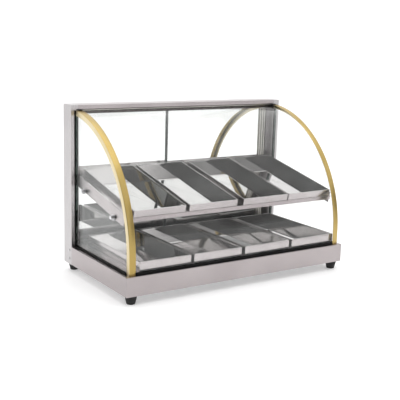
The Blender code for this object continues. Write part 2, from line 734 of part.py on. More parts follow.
def make_doors(case, finishes):
    make_door("left", DOOR_END_GAP, REAR_SLOT_Y, case, finishes)
    closed = CASE_WIDTH - DOOR_END_GAP - DOOR_WIDTH
    make_door("right", closed - RIGHT_DOOR_AJAR, FRONT_SLOT_Y, case, finishes)


# Glazing
def rack_point(along, above):
    """A point of the tilted rack's frame, as Y and Z of the case."""
    cosine, sine = math.cos(RACK_SLOPE), math.sin(RACK_SLOPE)
    return RACK_FRONT + along * cosine - above * sine, RACK_LEVEL + along * sine + above * cosine


def pane_outline():
    points = [(POST_SEAL_Y - FIT, GLASS_LEVEL), (PANE_FRONT, GLASS_LEVEL)]
    for step in range(ARC_STEPS + 1):
        turn = GLAZING_ARC * step / ARC_STEPS
        points.append((GLAZING_CENTRE_Y - PANE_RADIUS * math.cos(turn),
                       GLAZING_ARC_START + PANE_RADIUS * math.sin(turn)))
    points.append((POST_SEAL_Y - FIT, points[-1][1]))
    return points


def make_side_glass(side, case, finishes):
    holes = [ring(rack_point(along, -RACK_BOLT_LEVEL), RACK_BOLT_RADIUS + BOLT_HOLE_PLAY)
             for along in RACK_BOLT_PLACES]
    add_plate(f"side_glass_{side}", pane_outline(), GLASS, case, finishes["clear_glass"], holes=holes,
              across="x", place=(from_side(side, SIDE_GLASS_X + GLASS / 2), 0, 0))


def make_front_glass(case, finishes):
    points = [(RAIL_X, PANE_FRONT, GLASS_LEVEL), (CASE_WIDTH - RAIL_X, PANE_FRONT, GLASS_LEVEL)]
    inside = (CASE_WIDTH / 2, GLAZING_CENTRE_Y, GLAZING_ARC_START)
    add_glazing_sweep("front_glass", points, inside, GLASS, case, finishes["clear_glass"])


def make_trim(side, case, finishes):
    outer, inner = from_side(side, TRIM_SIDE), from_side(side, TRIM_SIDE + TRIM_FRONT_FLANGE)
    points = [(outer, TRIM_FRONT + TRIM_SIDE_FLANGE, SEAL_LEVEL), (outer, TRIM_FRONT, SEAL_LEVEL),
              (inner, TRIM_FRONT, SEAL_LEVEL)]
    inside = (CASE_WIDTH / 2, GLAZING_CENTRE_Y, GLAZING_ARC_START)
    add_glazing_sweep(f"trim_{side}", points, inside, TRIM_SHEET, case, finishes["gold_anodised"])


# Seals
def make_side_seal(side, case, finishes):
    middle = SIDE_GLASS_X + GLASS / 2
    low, high = span(side, middle - SIDE_SEAL_WIDTH / 2, middle + SIDE_SEAL_WIDTH / 2)
    front = TRIM_FRONT + TRIM_SIDE_FLANGE + FIT
    back = POST_FRONT - FIT
    seal = add_box(f"side_seal_{side}", (low, front, SEAL_LEVEL), (high, back, SEAL_LEVEL + SIDE_SEAL_HEIGHT),
                   case, finishes["black_seal"])
    top = GLAZING_ARC_START + PANE_RADIUS * math.sin(GLAZING_ARC)
    join(seal, add_guide_box(f"side_seal_{side}_upright", (low, POST_SEAL_Y, SEAL_LEVEL),
                             (high, back, top), case))
    low, high = span(side, SIDE_GLASS_X - FIT, SIDE_GLASS_INNER + FIT)
    cut(seal, add_guide_box(f"side_seal_{side}_slot", (low, front - OVERRUN, SEAL_LEVEL + SEAL_FLOOR),
                            (high, POST_SEAL_Y, SEAL_LEVEL + SIDE_SEAL_HEIGHT + OVERRUN), case))


def make_front_seal(case, finishes):
    start = TRIM_SIDE + TRIM_FRONT_FLANGE + FIT
    top = SEAL_LEVEL + FRONT_SEAL_HEIGHT
    seal = add_box("front_seal", (start, FRONT_SEAL_Y, SEAL_LEVEL),
                   (CASE_WIDTH - start, FRONT_SEAL_BACK, top), case, finishes["black_seal"])
    cut(seal, add_guide_box("front_seal_slot", (start - OVERRUN, PANE_FRONT - FIT, SEAL_LEVEL + SEAL_FLOOR),
                            (CASE_WIDTH - start + OVERRUN, PANE_FRONT + GLASS + FIT, top + OVERRUN), case))


# Rack and trays
def make_rack(case, rack, finishes):
    steel = finishes["satin_steel"]
    run = (CASE_WIDTH - 2 * RAIL_X, 0, 0)
    under = -RACK_UNDER
    points = [(RAIL_X, under, RAIL_UPSTAND), (RAIL_X, under, under), (RAIL_X, RAIL_FLANGE, under)]
    add_folded_sheet("rack_rail_front", points, run, (0, RAIL_FLANGE, RAIL_UPSTAND), SHEET, rack, steel)
    back = TRAY_LENGTH - RAIL_REAR_INSET
    start = POST_FRONT_LIP + FIT
    points = [(start, back - RAIL_REAR_FLANGE, -FIT), (start, back, -FIT), (start, back, -RAIL_DROP)]
    add_folded_sheet("rack_rail_rear", points, (CASE_WIDTH - 2 * start, 0, 0),
                     (start, back - RAIL_REAR_FLANGE, -RAIL_DROP), SHEET, rack, steel)
    bar_length = SIDE_BAR_END - SIDE_BAR_INSET
    for side in ("left", "right"):
        outer, inner = from_side(side, RAIL_X), from_side(side, RAIL_X + SIDE_BAR_FLANGE)
        top = under - FIT
        start = SIDE_BAR_INSET
        points = [(inner, start, top), (outer, start, top), (outer, start, top - SIDE_BAR_DROP)]
        bar = add_folded_sheet(f"rack_side_bar_{side}", points, (0, bar_length, 0),
                               (inner, start, top - SIDE_BAR_DROP), SHEET, rack, steel)
        for index, along in enumerate(RACK_BOLT_PLACES):
            near, far = from_side(side, 0), from_side(side, RAIL_X + SIDE_BAR_FLANGE)
            cut(bar, add_guide_rod(f"rack_bar_{side}_hole_{index}", (near, along, -RACK_BOLT_LEVEL),
                                   (far, along, -RACK_BOLT_LEVEL), RACK_BOLT_RADIUS + BOLT_HOLE_PLAY, rack))


def make_rack_bolts(rack, finishes):
    length = RAIL_X + SHEET + RACK_BOLT_END - SIDE_GLASS_X + FIT
    head = dome(RACK_BOLT_HEAD_RADIUS, RACK_BOLT_HEAD_SKIRT, RACK_BOLT_HEAD - RACK_BOLT_HEAD_SKIRT)
    profile = [*head, (RACK_BOLT_HEAD_RADIUS, 0), (RACK_BOLT_RADIUS, 0), (RACK_BOLT_RADIUS, -length),
               (0, -length)]
    for side, outward in (("left", -1), ("right", 1)):
        for place, along in zip(("front", "rear"), RACK_BOLT_PLACES):
            seat = (from_side(side, SIDE_GLASS_X - FIT), along, -RACK_BOLT_LEVEL)
            add_screw(f"rack_bolt_{side}_{place}", profile, seat, (outward, 0, 0), rack, finishes["chrome"])


def tray_mesh():
    """An open pan with a folded hem inside its rim; its lower front left corner is at the origin."""
    tray = add_object("tray", box_mesh("tray", (0, 0, 0), (TRAY_WIDTH, TRAY_LENGTH, TRAY_HEIGHT)), None)
    inner = (TRAY_WIDTH - TRAY_WALL, TRAY_LENGTH - TRAY_WALL, TRAY_HEIGHT - TRAY_HEM_HEIGHT)
    cut(tray, add_guide_box("tray_hollow", (TRAY_WALL, TRAY_WALL, TRAY_WALL), inner, None))
    cut(tray, add_guide_box("tray_mouth", (TRAY_HEM, TRAY_HEM, TRAY_HEIGHT / 2),
                            (TRAY_WIDTH - TRAY_HEM, TRAY_LENGTH - TRAY_HEM, TRAY_HEIGHT + OVERRUN), None))
    return baked_mesh(tray)


def make_trays(case, rack, finishes):
    mesh = tray_mesh()
    mesh.materials.clear()
    mesh.materials.append(finishes["polished_steel"])
    rows = (("upper", rack, 0, 0, UPPER_TRAY_GAPS),
            ("lower", case, FRONT_SEAL_BACK + TRAY_FRONT_GAP, DECK_TOP + FIT, LOWER_TRAY_GAPS))
    for row, parent, y, z, gaps in rows:
        x = TRAY_ROW_SIDE
        for number, gap in enumerate(gaps, 1):
            x += gap
            tray = add_object(f"tray_{row}_{number}", mesh, parent)
            tray.location = (x, y, z)
            x += TRAY_WIDTH


# Feet and screws
def foot_places():
    left, right = FOOT_SIDE, CASE_WIDTH - FOOT_SIDE
    front, back = FOOT_END, CASE_DEPTH - FOOT_END
    return [(left, front), (right, front), (left, back), (right, back)]


def make_feet(case, finishes):
    """Push-in rubber feet: a tapered foot, and a stem whose barb holds above the flange."""
    barb = SHEET + FIT
    tip = barb + FOOT_BARB_HEIGHT
    profile = [(0, tip), (FOOT_STEM_RADIUS, tip), (FOOT_BARB_RADIUS, barb), (FOOT_STEM_RADIUS, barb),
               (FOOT_STEM_RADIUS, -FIT), (FOOT_TOP_RADIUS, -FIT), (FOOT_BOTTOM_RADIUS, -FOOT_HEIGHT),
               (0, -FOOT_HEIGHT)]
    names = ("front_left", "front_right", "rear_left", "rear_right")
    for name, (x, y) in zip(names, foot_places()):
        add_turned(f"foot_{name}", profile, case, finishes["foot_rubber"], place=(x, y, 0))


def make_post_screws(case, finishes):
    crown = SCREW_HEAD / 2
    profile = [(0, SCREW_HEAD), (SCREW_HEAD_RADIUS - crown, SCREW_HEAD), (SCREW_HEAD_RADIUS, crown),
               (SCREW_HEAD_RADIUS, 0), (SCREW_RADIUS, 0), (SCREW_RADIUS, -SCREW_LENGTH), (0, -SCREW_LENGTH)]
    y = POST_FRONT + POST_SCREW_SETBACK
    for side, outward in (("left", -1), ("right", 1)):
        for place, level in POST_SCREW_LEVELS:
            seat = (from_side(side, -FIT), y, level)
            add_screw(f"post_screw_{side}_{place}", profile, seat, (outward, 0, 0), case, finishes["chrome"])


# Heater
def heater_route():
    points = [(HEATER_END, HEATER_FIRST_RUN, HEATER_LEVEL)]
    radius = HEATER_PITCH / 2
    for bend in range(HEATER_RUNS - 1):
        at_left = bend % 2 == 0
        x = HEATER_LEFT_BEND if at_left else CASE_WIDTH - HEATER_RIGHT_BEND
        outward = -1 if at_left else 1
        middle = HEATER_FIRST_RUN + HEATER_PITCH * bend + radius
        for step in range(HEATER_BEND_STEPS + 1):
            turn = math.pi * step / HEATER_BEND_STEPS
            points.append((x + outward * radius * math.sin(turn), middle - radius * math.cos(turn),
                           HEATER_LEVEL))
    points.append((HEATER_END, HEATER_FIRST_RUN + HEATER_PITCH * (HEATER_RUNS - 1), HEATER_LEVEL))
    return points


def make_heater(case, finishes):
    board_top = BOARD_LEVEL + BOARD_THICKNESS
    add_box("insulation_board", (BOARD_SIDE, BOARD_FRONT, BOARD_LEVEL),
            (CASE_WIDTH - BOARD_SIDE, BOARD_BACK, board_top), case, finishes["insulation"])
    add_tube("heater_element", heater_route(), HEATER_RADIUS, case, finishes["heater_sheath"])
    foot = board_top + FIT
    front = HEATER_FIRST_RUN - HEATER_BRACKET_MARGIN
    length = HEATER_PITCH * (HEATER_RUNS - 1) + 2 * HEATER_BRACKET_MARGIN
    for side, inset in HEATER_BRACKET_PLACES:
        x = from_side(side, inset)
        points = [(x, front, HEATER_LEVEL + HEATER_BRACKET_CROWN), (x, front, foot),
                  (x + HEATER_BRACKET_FOOT, front, foot)]
        bracket = add_folded_sheet(f"heater_bracket_{side}", points, (0, length, 0),
                                   (x + HEATER_BRACKET_FOOT, front, HEATER_LEVEL), SHEET, case,
                                   finishes["galvanised_steel"])
        for run in range(HEATER_RUNS):
            y = HEATER_FIRST_RUN + HEATER_PITCH * run
            cut(bracket, add_guide_rod(f"heater_bracket_{side}_hole_{run}", (x - OVERRUN, y, HEATER_LEVEL),
                                       (x + OVERRUN, y, HEATER_LEVEL), HEATER_RADIUS + HEATER_HOLE_PLAY,
                                       case))


# Controls
def make_thermostat(case, finishes):
    half = THERMOSTAT_WIDTH / 2
    rear = PANEL_BACK - FIT
    low = (KNOB_X - half, rear - THERMOSTAT_DEPTH, CONTROL_LEVEL - THERMOSTAT_HEIGHT / 2)
    high = (KNOB_X + half, rear, CONTROL_LEVEL + THERMOSTAT_HEIGHT / 2)
    body = add_box("thermostat_body", low, high, case, finishes["black_plastic"])
    join(body, add_guide_rod("thermostat_bushing", (KNOB_X, rear - OVERRUN, CONTROL_LEVEL),
                             (KNOB_X, PANEL_FACE + BUSHING_REACH, CONTROL_LEVEL), BUSHING_RADIUS, case))
    bore_end = PANEL_FACE - SHAFT_DEPTH
    cut(body, add_guide_rod("thermostat_bore", (KNOB_X, bore_end, CONTROL_LEVEL),
                            (KNOB_X, KNOB_BACK + OVERRUN, CONTROL_LEVEL), SHAFT_RADIUS + FIT, case))
    knob_frame = add_empty("knob_axis", case, (KNOB_X, KNOB_BACK, CONTROL_LEVEL))
    knob_frame.rotation_euler = toward((0, 1, 0))
    start = bore_end + FIT - KNOB_BACK
    profile = [(0, SHAFT_IN_KNOB), (SHAFT_RADIUS, SHAFT_IN_KNOB), (SHAFT_RADIUS, start), (0, start)]
    add_turned("thermostat_shaft", profile, knob_frame, finishes["chrome"], sides=SMALL_ROUND_SIDES)
    profile = [(0, KNOB_SKIRT), (KNOB_RADIUS - KNOB_GRIP_ROUNDING / 2, KNOB_SKIRT),
               (KNOB_RADIUS, KNOB_SKIRT - KNOB_GRIP_ROUNDING / 2), (KNOB_RADIUS, 0), (0, 0)]
    knob = add_turned("thermostat_knob", profile, knob_frame, finishes["black_plastic"])
    reach = KNOB_RADIUS - KNOB_GRIP_ROUNDING
    grip = add_guide_box("knob_grip", (-KNOB_GRIP_WIDTH / 2, -reach, KNOB_SKIRT / 2),
                         (KNOB_GRIP_WIDTH / 2, reach, KNOB_LENGTH), knob_frame)
    round_edges(grip, KNOB_GRIP_ROUNDING)
    join(knob, grip)
    cut(knob, add_guide_rod("knob_bore", (0, 0, -OVERRUN), (0, 0, SHAFT_IN_KNOB + FIT), SHAFT_RADIUS + FIT,
                            knob_frame))


def make_switch(case, finishes):
    pivot_y = PANEL_FACE - ROCKER_PIVOT_DEPTH
    half = SWITCH_BODY_WIDTH / 2
    tall = SWITCH_BODY_HEIGHT / 2
    body = add_box("switch_housing", (SWITCH_X - half, PANEL_BACK - SWITCH_BODY_DEPTH, CONTROL_LEVEL - tall),
                   (SWITCH_X + half, PANEL_FACE + FIT + SWITCH_BEZEL / 2, CONTROL_LEVEL + tall), case,
                   finishes["black_plastic"])
    half = SWITCH_BEZEL_WIDTH / 2
    tall = SWITCH_BEZEL_HEIGHT / 2
    outside = PANEL_FACE + FIT
    join(body, add_guide_box("switch_bezel", (SWITCH_X - half, outside, CONTROL_LEVEL - tall),
                             (SWITCH_X + half, outside + SWITCH_BEZEL, CONTROL_LEVEL + tall), case))
    reach = ROCKER_WIDTH / 2 + FIT
    cut(body, add_guide_rod("rocker_well", (SWITCH_X - reach, pivot_y, CONTROL_LEVEL),
                            (SWITCH_X + reach, pivot_y, CONTROL_LEVEL), ROCKER_RADIUS + ROCKER_PLAY, case,
                            2 * ROUND_SIDES))
    outline = [(ROCKER_RADIUS * y, ROCKER_RADIUS * z) for y, z in ROCKER_OUTLINE_SHARES]
    axis = add_empty("rocker_axis", case, (SWITCH_X, pivot_y, CONTROL_LEVEL))
    axis.rotation_euler = (-ROCKER_TILT, 0, 0)
    add_plate("switch_rocker", outline, ROCKER_WIDTH, axis, finishes["black_plastic"], across="x")


def make_lamp(case, finishes):
    outward = toward((0, 1, 0))
    place = (LAMP_X, PANEL_FACE + FIT, CONTROL_LEVEL)
    recess = LENS_RADIUS + FIT
    floor = LAMP_FLANGE - LENS_SEAT
    profile = [(recess, LAMP_FLANGE), (LAMP_FLANGE_RADIUS, LAMP_FLANGE), (LAMP_FLANGE_RADIUS, 0),
               (LAMP_RADIUS, 0), (LAMP_RADIUS, -LAMP_DEPTH), (0, -LAMP_DEPTH)]
    add_turned("pilot_lamp_body", [(0, floor), (recess, floor), *profile], case, finishes["chrome"],
               place=place, turn=outward)
    profile = [*dome(LENS_RADIUS, LAMP_FLANGE, LENS_REACH), (LENS_RADIUS, floor + FIT), (0, floor + FIT)]
    add_turned("pilot_lamp_lens", profile, case, finishes["amber_lens"], place=place, turn=outward)


def make_gland(case, finishes):
    outward = toward((0, 1, 0))
    place = (GLAND_X, PANEL_FACE + FIT, CONTROL_LEVEL)
    top = GLAND_COLLAR + GLAND_CAP
    bore = GLAND_BORE_RADIUS
    profile = [(bore, top), (GLAND_MOUTH_RADIUS, top), (GLAND_CAP_RADIUS, GLAND_COLLAR + GLAND_CAP / 2),
               (GLAND_CAP_RADIUS, GLAND_COLLAR), (GLAND_COLLAR_RADIUS, GLAND_COLLAR),
               (GLAND_COLLAR_RADIUS, 0), (GLAND_NECK_RADIUS, 0), (GLAND_NECK_RADIUS, -GLAND_DEPTH),
               (bore, -GLAND_DEPTH)]
    add_turned("cable_gland", profile, case, finishes["black_plastic"], place=place, turn=outward,
               closed=True)


def make_terminal_block(case, finishes):
    low = (TERMINAL_LEFT, TERMINAL_FRONT, SHEET + FIT)
    high = (TERMINAL_LEFT + TERMINAL_WIDTH, TERMINAL_FRONT + TERMINAL_DEPTH, SHEET + FIT + TERMINAL_HEIGHT)
    block = add_box("terminal_block", low, high, case, finishes["white_plastic"])
    pitch = TERMINAL_WIDTH / TERMINAL_POLES
    for number in range(1, TERMINAL_POLES):
        x = TERMINAL_LEFT + pitch * number
        left, right = x - TERMINAL_GROOVE / 2, x + TERMINAL_GROOVE / 2
        cut(block, add_guide_box(f"terminal_groove_{number}",
                                 (left, low[1] - OVERRUN, high[2] - TERMINAL_GROOVE_DEPTH),
                                 (right, high[1] + OVERRUN, high[2] + OVERRUN), case))


def smooth_route(points):
    """A soft curve through a few chosen points."""
    padded = [points[0], *points, points[-1]]
    route = []
    for before, start, end, after in zip(padded, padded[1:], padded[2:], padded[3:]):
        for step in range(ROUTE_STEPS):
            t = step / ROUTE_STEPS
            weights = (-t ** 3 + 2 * t ** 2 - t, 3 * t ** 3 - 5 * t ** 2 + 2,
                       -3 * t ** 3 + 4 * t ** 2 + t, t ** 3 - t ** 2)
            corners = [Vector(item) for item in (before, start, end, after)]
            route.append(sum((weight / 2 * corner for weight, corner in zip(weights, corners)), Vector()))
    route.append(Vector(points[-1]))
    return route


def make_bulb(case, finishes):
    level = BOARD_LEVEL + BOARD_THICKNESS + FIT + BULB_RADIUS
    body_face = PANEL_BACK - FIT - THERMOSTAT_DEPTH - WIRE_END_GAP
    fat = BULB_RADIUS / CAPILLARY_RADIUS
    right = KNOB_X - BULB_FROM_KNOB
    left = right - BULB_LENGTH
    y = BOARD_BACK - BULB_SETBACK
    points = [(left, y, level), (left + BULB_SHOULDER, y, level, fat),
              (right - BULB_SHOULDER, y, level, fat), (right, y, level)]
    route = smooth_route([(right, y, level), (right + WIRE_INSET, y, level),
                          (KNOB_X - WIRE_INSET, BOARD_BACK + WIRE_INSET, WIRE_EYE_LOWER),
                          (KNOB_X, body_face - WIRE_INSET, WIRE_EYE_LOWER),
                          (KNOB_X, body_face, WIRE_EYE_LOWER)])
    add_tube("thermostat_bulb", points + route[1:], CAPILLARY_RADIUS, case, finishes["copper"])


def make_wiring(case, finishes):
    """A sleeve on the terminal block, with four leads for the controls and the heater's two ends."""
    body_face = PANEL_BACK - FIT - THERMOSTAT_DEPTH - WIRE_END_GAP
    switch_face = PANEL_BACK - SWITCH_BODY_DEPTH - WIRE_END_GAP
    pitch = TERMINAL_WIDTH / TERMINAL_POLES
    pole = [TERMINAL_LEFT + pitch * number + pitch / 2 for number in range(TERMINAL_POLES)]
    block_y = TERMINAL_FRONT + TERMINAL_DEPTH / 2
    trough = POST_FRONT
    level = SHEET + FIT + TERMINAL_HEIGHT + FIT + SLEEVE_RADIUS
    half = THERMOSTAT_WIDTH / 2 - WIRE_INSET / 2
    last_run = HEATER_FIRST_RUN + HEATER_PITCH * (HEATER_RUNS - 1)
    harness = add_object("wiring", rod_mesh("sleeve", (TERMINAL_LEFT, block_y, level),
                                            (TERMINAL_LEFT + TERMINAL_WIDTH, block_y, level), SLEEVE_RADIUS),
                         case, finishes["wire_insulation"])
    leads = {
        "thermostat": [(pole[0], block_y, level),
                       (pole[0] - WIRE_INSET, trough + WIRE_INSET, WIRE_EYE_UPPER),
                       (KNOB_X + half, body_face - WIRE_INSET, WIRE_EYE_UPPER),
                       (KNOB_X + half, body_face, WIRE_EYE_UPPER)],
        "switch": [(pole[1], block_y, level), (pole[0], trough, WIRE_RUN_LEVEL),
                   (LAMP_X, trough, WIRE_RUN_LEVEL),
                   (SWITCH_X, switch_face - WIRE_INSET, WIRE_EYE_UPPER),
                   (SWITCH_X, switch_face, WIRE_EYE_UPPER)],
        "heater_near": [(pole[2], block_y, level), (pole[2], trough, HEATER_LEVEL),
                        (pole[2], last_run + 2 * WIRE_INSET, HEATER_LEVEL),
                        (HEATER_END + WIRE_INSET, last_run, HEATER_LEVEL),
                        (HEATER_END + WIRE_END_GAP, last_run, HEATER_LEVEL)],
        "heater_far": [(pole[3], block_y, level), (pole[3], trough, HEATER_LEVEL),
                       (pole[3], HEATER_FIRST_RUN + 2 * WIRE_INSET, HEATER_LEVEL),
                       (HEATER_END + WIRE_INSET, HEATER_FIRST_RUN, HEATER_LEVEL),
                       (HEATER_END + WIRE_END_GAP, HEATER_FIRST_RUN, HEATER_LEVEL)],
    }
    for name, route in leads.items():
        lead = add_tube(name, smooth_route(route), WIRE_RADIUS, None, None)
        guide = as_guide(add_object(f"lead_{name}", baked_mesh(lead), case, collection=guides))
        join(harness, guide)


# Assembly
def add_empty(name, parent, place):
    frame = bpy.data.objects.new(name, None)
    case_pieces.objects.link(frame)
    frame.parent = parent
    frame.location = place
    return frame


def build():
    for item in list(bpy.data.objects):
        bpy.data.objects.remove(item)
    for collection in (case_pieces, guides):
        bpy.context.scene.collection.children.link(collection)
    finishes = make_finishes()
    case = add_empty("case_frame", None, (-CASE_WIDTH / 2, -(CASE_DEPTH + KNOB_REACH) / 2, FOOT_HEIGHT))
    rack = add_empty("rack_frame", case, (0, RACK_FRONT, RACK_LEVEL))
    rack.rotation_euler = (RACK_SLOPE, 0, 0)
    make_base_shell(case, finishes)
    make_deck_and_bottom(case, finishes)
    make_rear_panel(case, finishes)
    make_beam(case, finishes)
    make_tracks(case, finishes)
    make_doors(case, finishes)
    make_front_glass(case, finishes)
    make_front_seal(case, finishes)
    for side in ("left", "right"):
        make_post(side, case, finishes)
        make_side_glass(side, case, finishes)
        make_trim(side, case, finishes)
        make_side_seal(side, case, finishes)
    make_rack(case, rack, finishes)
    make_rack_bolts(rack, finishes)
    make_trays(case, rack, finishes)
    make_feet(case, finishes)
    make_post_screws(case, finishes)
    make_heater(case, finishes)
    make_thermostat(case, finishes)
    make_switch(case, finishes)
    make_lamp(case, finishes)
    make_gland(case, finishes)
    make_terminal_block(case, finishes)
    make_bulb(case, finishes)
    make_wiring(case, finishes)


build()
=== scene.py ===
import json
import math

import bmesh
import bpy
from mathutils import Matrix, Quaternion, Vector

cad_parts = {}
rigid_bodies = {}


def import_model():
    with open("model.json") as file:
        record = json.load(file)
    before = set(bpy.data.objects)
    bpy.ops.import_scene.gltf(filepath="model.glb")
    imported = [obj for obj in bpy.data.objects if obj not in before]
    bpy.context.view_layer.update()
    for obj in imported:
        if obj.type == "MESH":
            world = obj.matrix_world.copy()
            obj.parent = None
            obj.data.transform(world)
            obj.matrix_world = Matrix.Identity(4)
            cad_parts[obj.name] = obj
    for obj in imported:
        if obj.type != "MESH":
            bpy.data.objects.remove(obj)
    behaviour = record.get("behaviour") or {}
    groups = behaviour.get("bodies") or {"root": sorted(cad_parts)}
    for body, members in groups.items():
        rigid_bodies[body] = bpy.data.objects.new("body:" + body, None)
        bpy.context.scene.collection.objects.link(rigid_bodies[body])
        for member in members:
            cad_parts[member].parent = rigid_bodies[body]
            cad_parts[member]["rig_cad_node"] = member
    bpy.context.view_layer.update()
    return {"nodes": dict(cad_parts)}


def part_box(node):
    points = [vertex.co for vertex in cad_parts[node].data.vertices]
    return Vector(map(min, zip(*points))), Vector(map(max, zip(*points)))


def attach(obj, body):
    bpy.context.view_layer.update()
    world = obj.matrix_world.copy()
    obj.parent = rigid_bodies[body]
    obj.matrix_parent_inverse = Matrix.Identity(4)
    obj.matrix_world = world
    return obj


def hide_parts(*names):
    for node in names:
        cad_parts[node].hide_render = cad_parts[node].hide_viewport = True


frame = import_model()
nodes = frame["nodes"]
print("frame loaded:", len(nodes), "nodes")

sides = ("left", "right")
fitGap = 0.0003           # what the frame leaves between two pieces that touch
closeBy = 1e-5            # two places nearer than this are the same place
mergeDistance = 0.00002


# camera, first, so that everything else can be judged through it
photoView = {
    "place": (-1.218, -1.80555, 0.656),
    "target": (-0.0119, 0.00885, 0.1967),
    "rollDegrees": 1.7289,
    "lensMm": 71.298,
}


def makeCamera():
    place, target = Vector(photoView["place"]), Vector(photoView["target"])
    bpy.ops.object.camera_add(location=place)
    camera = bpy.context.active_object
    camera.name = "photoCamera"
    camera.rotation_mode = "QUATERNION"
    roll = Quaternion((0, 0, 1), math.radians(photoView["rollDegrees"]))
    camera.rotation_quaternion = (target - place).to_track_quat("-Z", "Y") @ roll
    camera.data.lens = photoView["lensMm"]
    bpy.context.scene.camera = camera


makeCamera()
print("camera placed")


# small helpers for working by operator
def clearSelection():
    bpy.ops.object.select_all(action="DESELECT")


def makeActive(piece):
    clearSelection()
    piece.select_set(True)
    bpy.context.view_layer.objects.active = piece


def openEdit(piece):
    makeActive(piece)
    bpy.ops.object.mode_set(mode="EDIT")
    bpy.ops.mesh.select_all(action="DESELECT")


def closeEdit():
    bpy.ops.object.mode_set(mode="OBJECT")


def pickFaces(piece, wanted):
    bpy.ops.mesh.select_mode(type="FACE")
    bpy.ops.mesh.select_all(action="DESELECT")
    shape = bmesh.from_edit_mesh(piece.data)
    for face in shape.faces:
        if wanted(face.calc_center_median(), face.normal):
            face.select_set(True)
    bmesh.update_edit_mesh(piece.data)


def pickEdges(piece, wanted):
    bpy.ops.mesh.select_mode(type="EDGE")
    bpy.ops.mesh.select_all(action="DESELECT")
    shape = bmesh.from_edit_mesh(piece.data)
    for edge in shape.edges:
        if wanted(edge.verts[0].co, edge.verts[1].co):
            edge.select_set(True)
    bmesh.update_edit_mesh(piece.data)


def extrude(move):
    bpy.ops.mesh.extrude_region_move(TRANSFORM_OT_translate={"value": move})


def applyModifier(piece, kind, **values):
    modifier = piece.modifiers.new(kind.lower(), kind)
    for name, value in values.items():
        setattr(modifier, name, value)
    makeActive(piece)
    bpy.ops.object.modifier_apply(modifier=modifier.name)


def roundOff(piece, width, segments=2, degrees=40):
    applyModifier(piece, "BEVEL", width=width, segments=segments, limit_method="ANGLE",
                  angle_limit=math.radians(degrees))


def smoothShade(piece, degrees=40):
    makeActive(piece)
    bpy.ops.object.shade_smooth_by_angle(angle=math.radians(degrees))


def applyPlace(piece):
    makeActive(piece)
    bpy.ops.object.transform_apply(location=True, rotation=True, scale=True)


def startCube(name, low, high):
    clearSelection()
    low, high = Vector(low), Vector(high)
    bpy.ops.mesh.primitive_cube_add(size=1, location=(low + high) / 2, scale=high - low)
    piece = bpy.context.active_object
    piece.name = name
    applyPlace(piece)
    return piece


def startRod(name, start, direction, radius, length, sides, endRadius=None):
    clearSelection()
    direction = Vector(direction)
    turn = Vector((0, 0, 1)).rotation_difference(direction).to_euler()
    bpy.ops.mesh.primitive_cone_add(vertices=sides, radius1=radius, radius2=endRadius or radius, depth=length,
                                    location=Vector(start) + direction * length / 2, rotation=turn)
    piece = bpy.context.active_object
    piece.name = name
    applyPlace(piece)
    return piece


def joinPieces(first, *others):
    clearSelection()
    for piece in (first, *others):
        piece.select_set(True)
    bpy.context.view_layer.objects.active = first
    bpy.ops.object.join()
    return first


def copyPiece(piece, name):
    makeActive(piece)
    bpy.ops.object.duplicate()
    twin = bpy.context.active_object
    twin.name = name
    return twin


def settle(piece, body, slot, material, *replaced):
    applyPlace(piece)
    piece.data.materials.clear()
    piece.data.materials.append(material)
    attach(piece, body)
    if replaced:
        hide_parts(*replaced)


# small helpers for materials
def startMaterial(name, colour, roughness, metallic=0.0):
    material = bpy.data.materials.new(name)
    material.use_nodes = True
    shader = material.node_tree.nodes["Principled BSDF"]
    shader.inputs["Base Color"].default_value = (*colour, 1)
    shader.inputs["Roughness"].default_value = roughness
    shader.inputs["Metallic"].default_value = metallic
    return material, material.node_tree, shader


def grain(tree, stretch, scale, detail=4.0):    # noise on object coordinates, drawn out by the stretch
    place = tree.nodes.new("ShaderNodeTexCoord")
    mapping = tree.nodes.new("ShaderNodeMapping")
    mapping.inputs["Scale"].default_value = stretch
    noise = tree.nodes.new("ShaderNodeTexNoise")
    noise.inputs["Scale"].default_value = scale
    noise.inputs["Detail"].default_value = detail
    tree.links.new(place.outputs["Object"], mapping.inputs["Vector"])
    tree.links.new(mapping.outputs["Vector"], noise.inputs["Vector"])
    return noise.outputs["Fac"]


def between(tree, value, low, high, fromLow=0.3, fromHigh=0.7):
    node = tree.nodes.new("ShaderNodeMapRange")
    node.inputs["From Min"].default_value = fromLow
    node.inputs["From Max"].default_value = fromHigh
    node.inputs["To Min"].default_value = low
    node.inputs["To Max"].default_value = high
    tree.links.new(value, node.inputs["Value"])
    return node.outputs["Result"]


def colourBetween(tree, value, first, second, start=0.35, end=0.65):
    ramp = tree.nodes.new("ShaderNodeValToRGB")
    ramp.color_ramp.elements[0].position = start
    ramp.color_ramp.elements[0].color = (*first, 1)
    ramp.color_ramp.elements[1].position = end
    ramp.color_ramp.elements[1].color = (*second, 1)
    tree.links.new(value, ramp.inputs["Fac"])
    return ramp.outputs["Color"]


def bumpInto(tree, shader, height, strength, distance):
    bump = tree.nodes.new("ShaderNodeBump")
    bump.inputs["Strength"].default_value = strength
    bump.inputs["Distance"].default_value = distance
    tree.links.new(height, bump.inputs["Height"])
    tree.links.new(bump.outputs["Normal"], shader.inputs["Normal"])


def along(tree, kind, axis):    # "Normal": which way the surface faces; "Object": where it is
    place = tree.nodes.new("ShaderNodeTexCoord")
    split = tree.nodes.new("ShaderNodeSeparateXYZ")
    tree.links.new(place.outputs[kind], split.inputs["Vector"])
    return split.outputs[axis]


def calculate(tree, operation, first, second=None):
    node = tree.nodes.new("ShaderNodeMath")
    node.operation = operation
    for socket, value in zip(node.inputs, (first, second)):
        if isinstance(value, (int, float)):
            socket.default_value = value
        elif value is not None:
            tree.links.new(value, socket)
    return node.outputs["Value"]


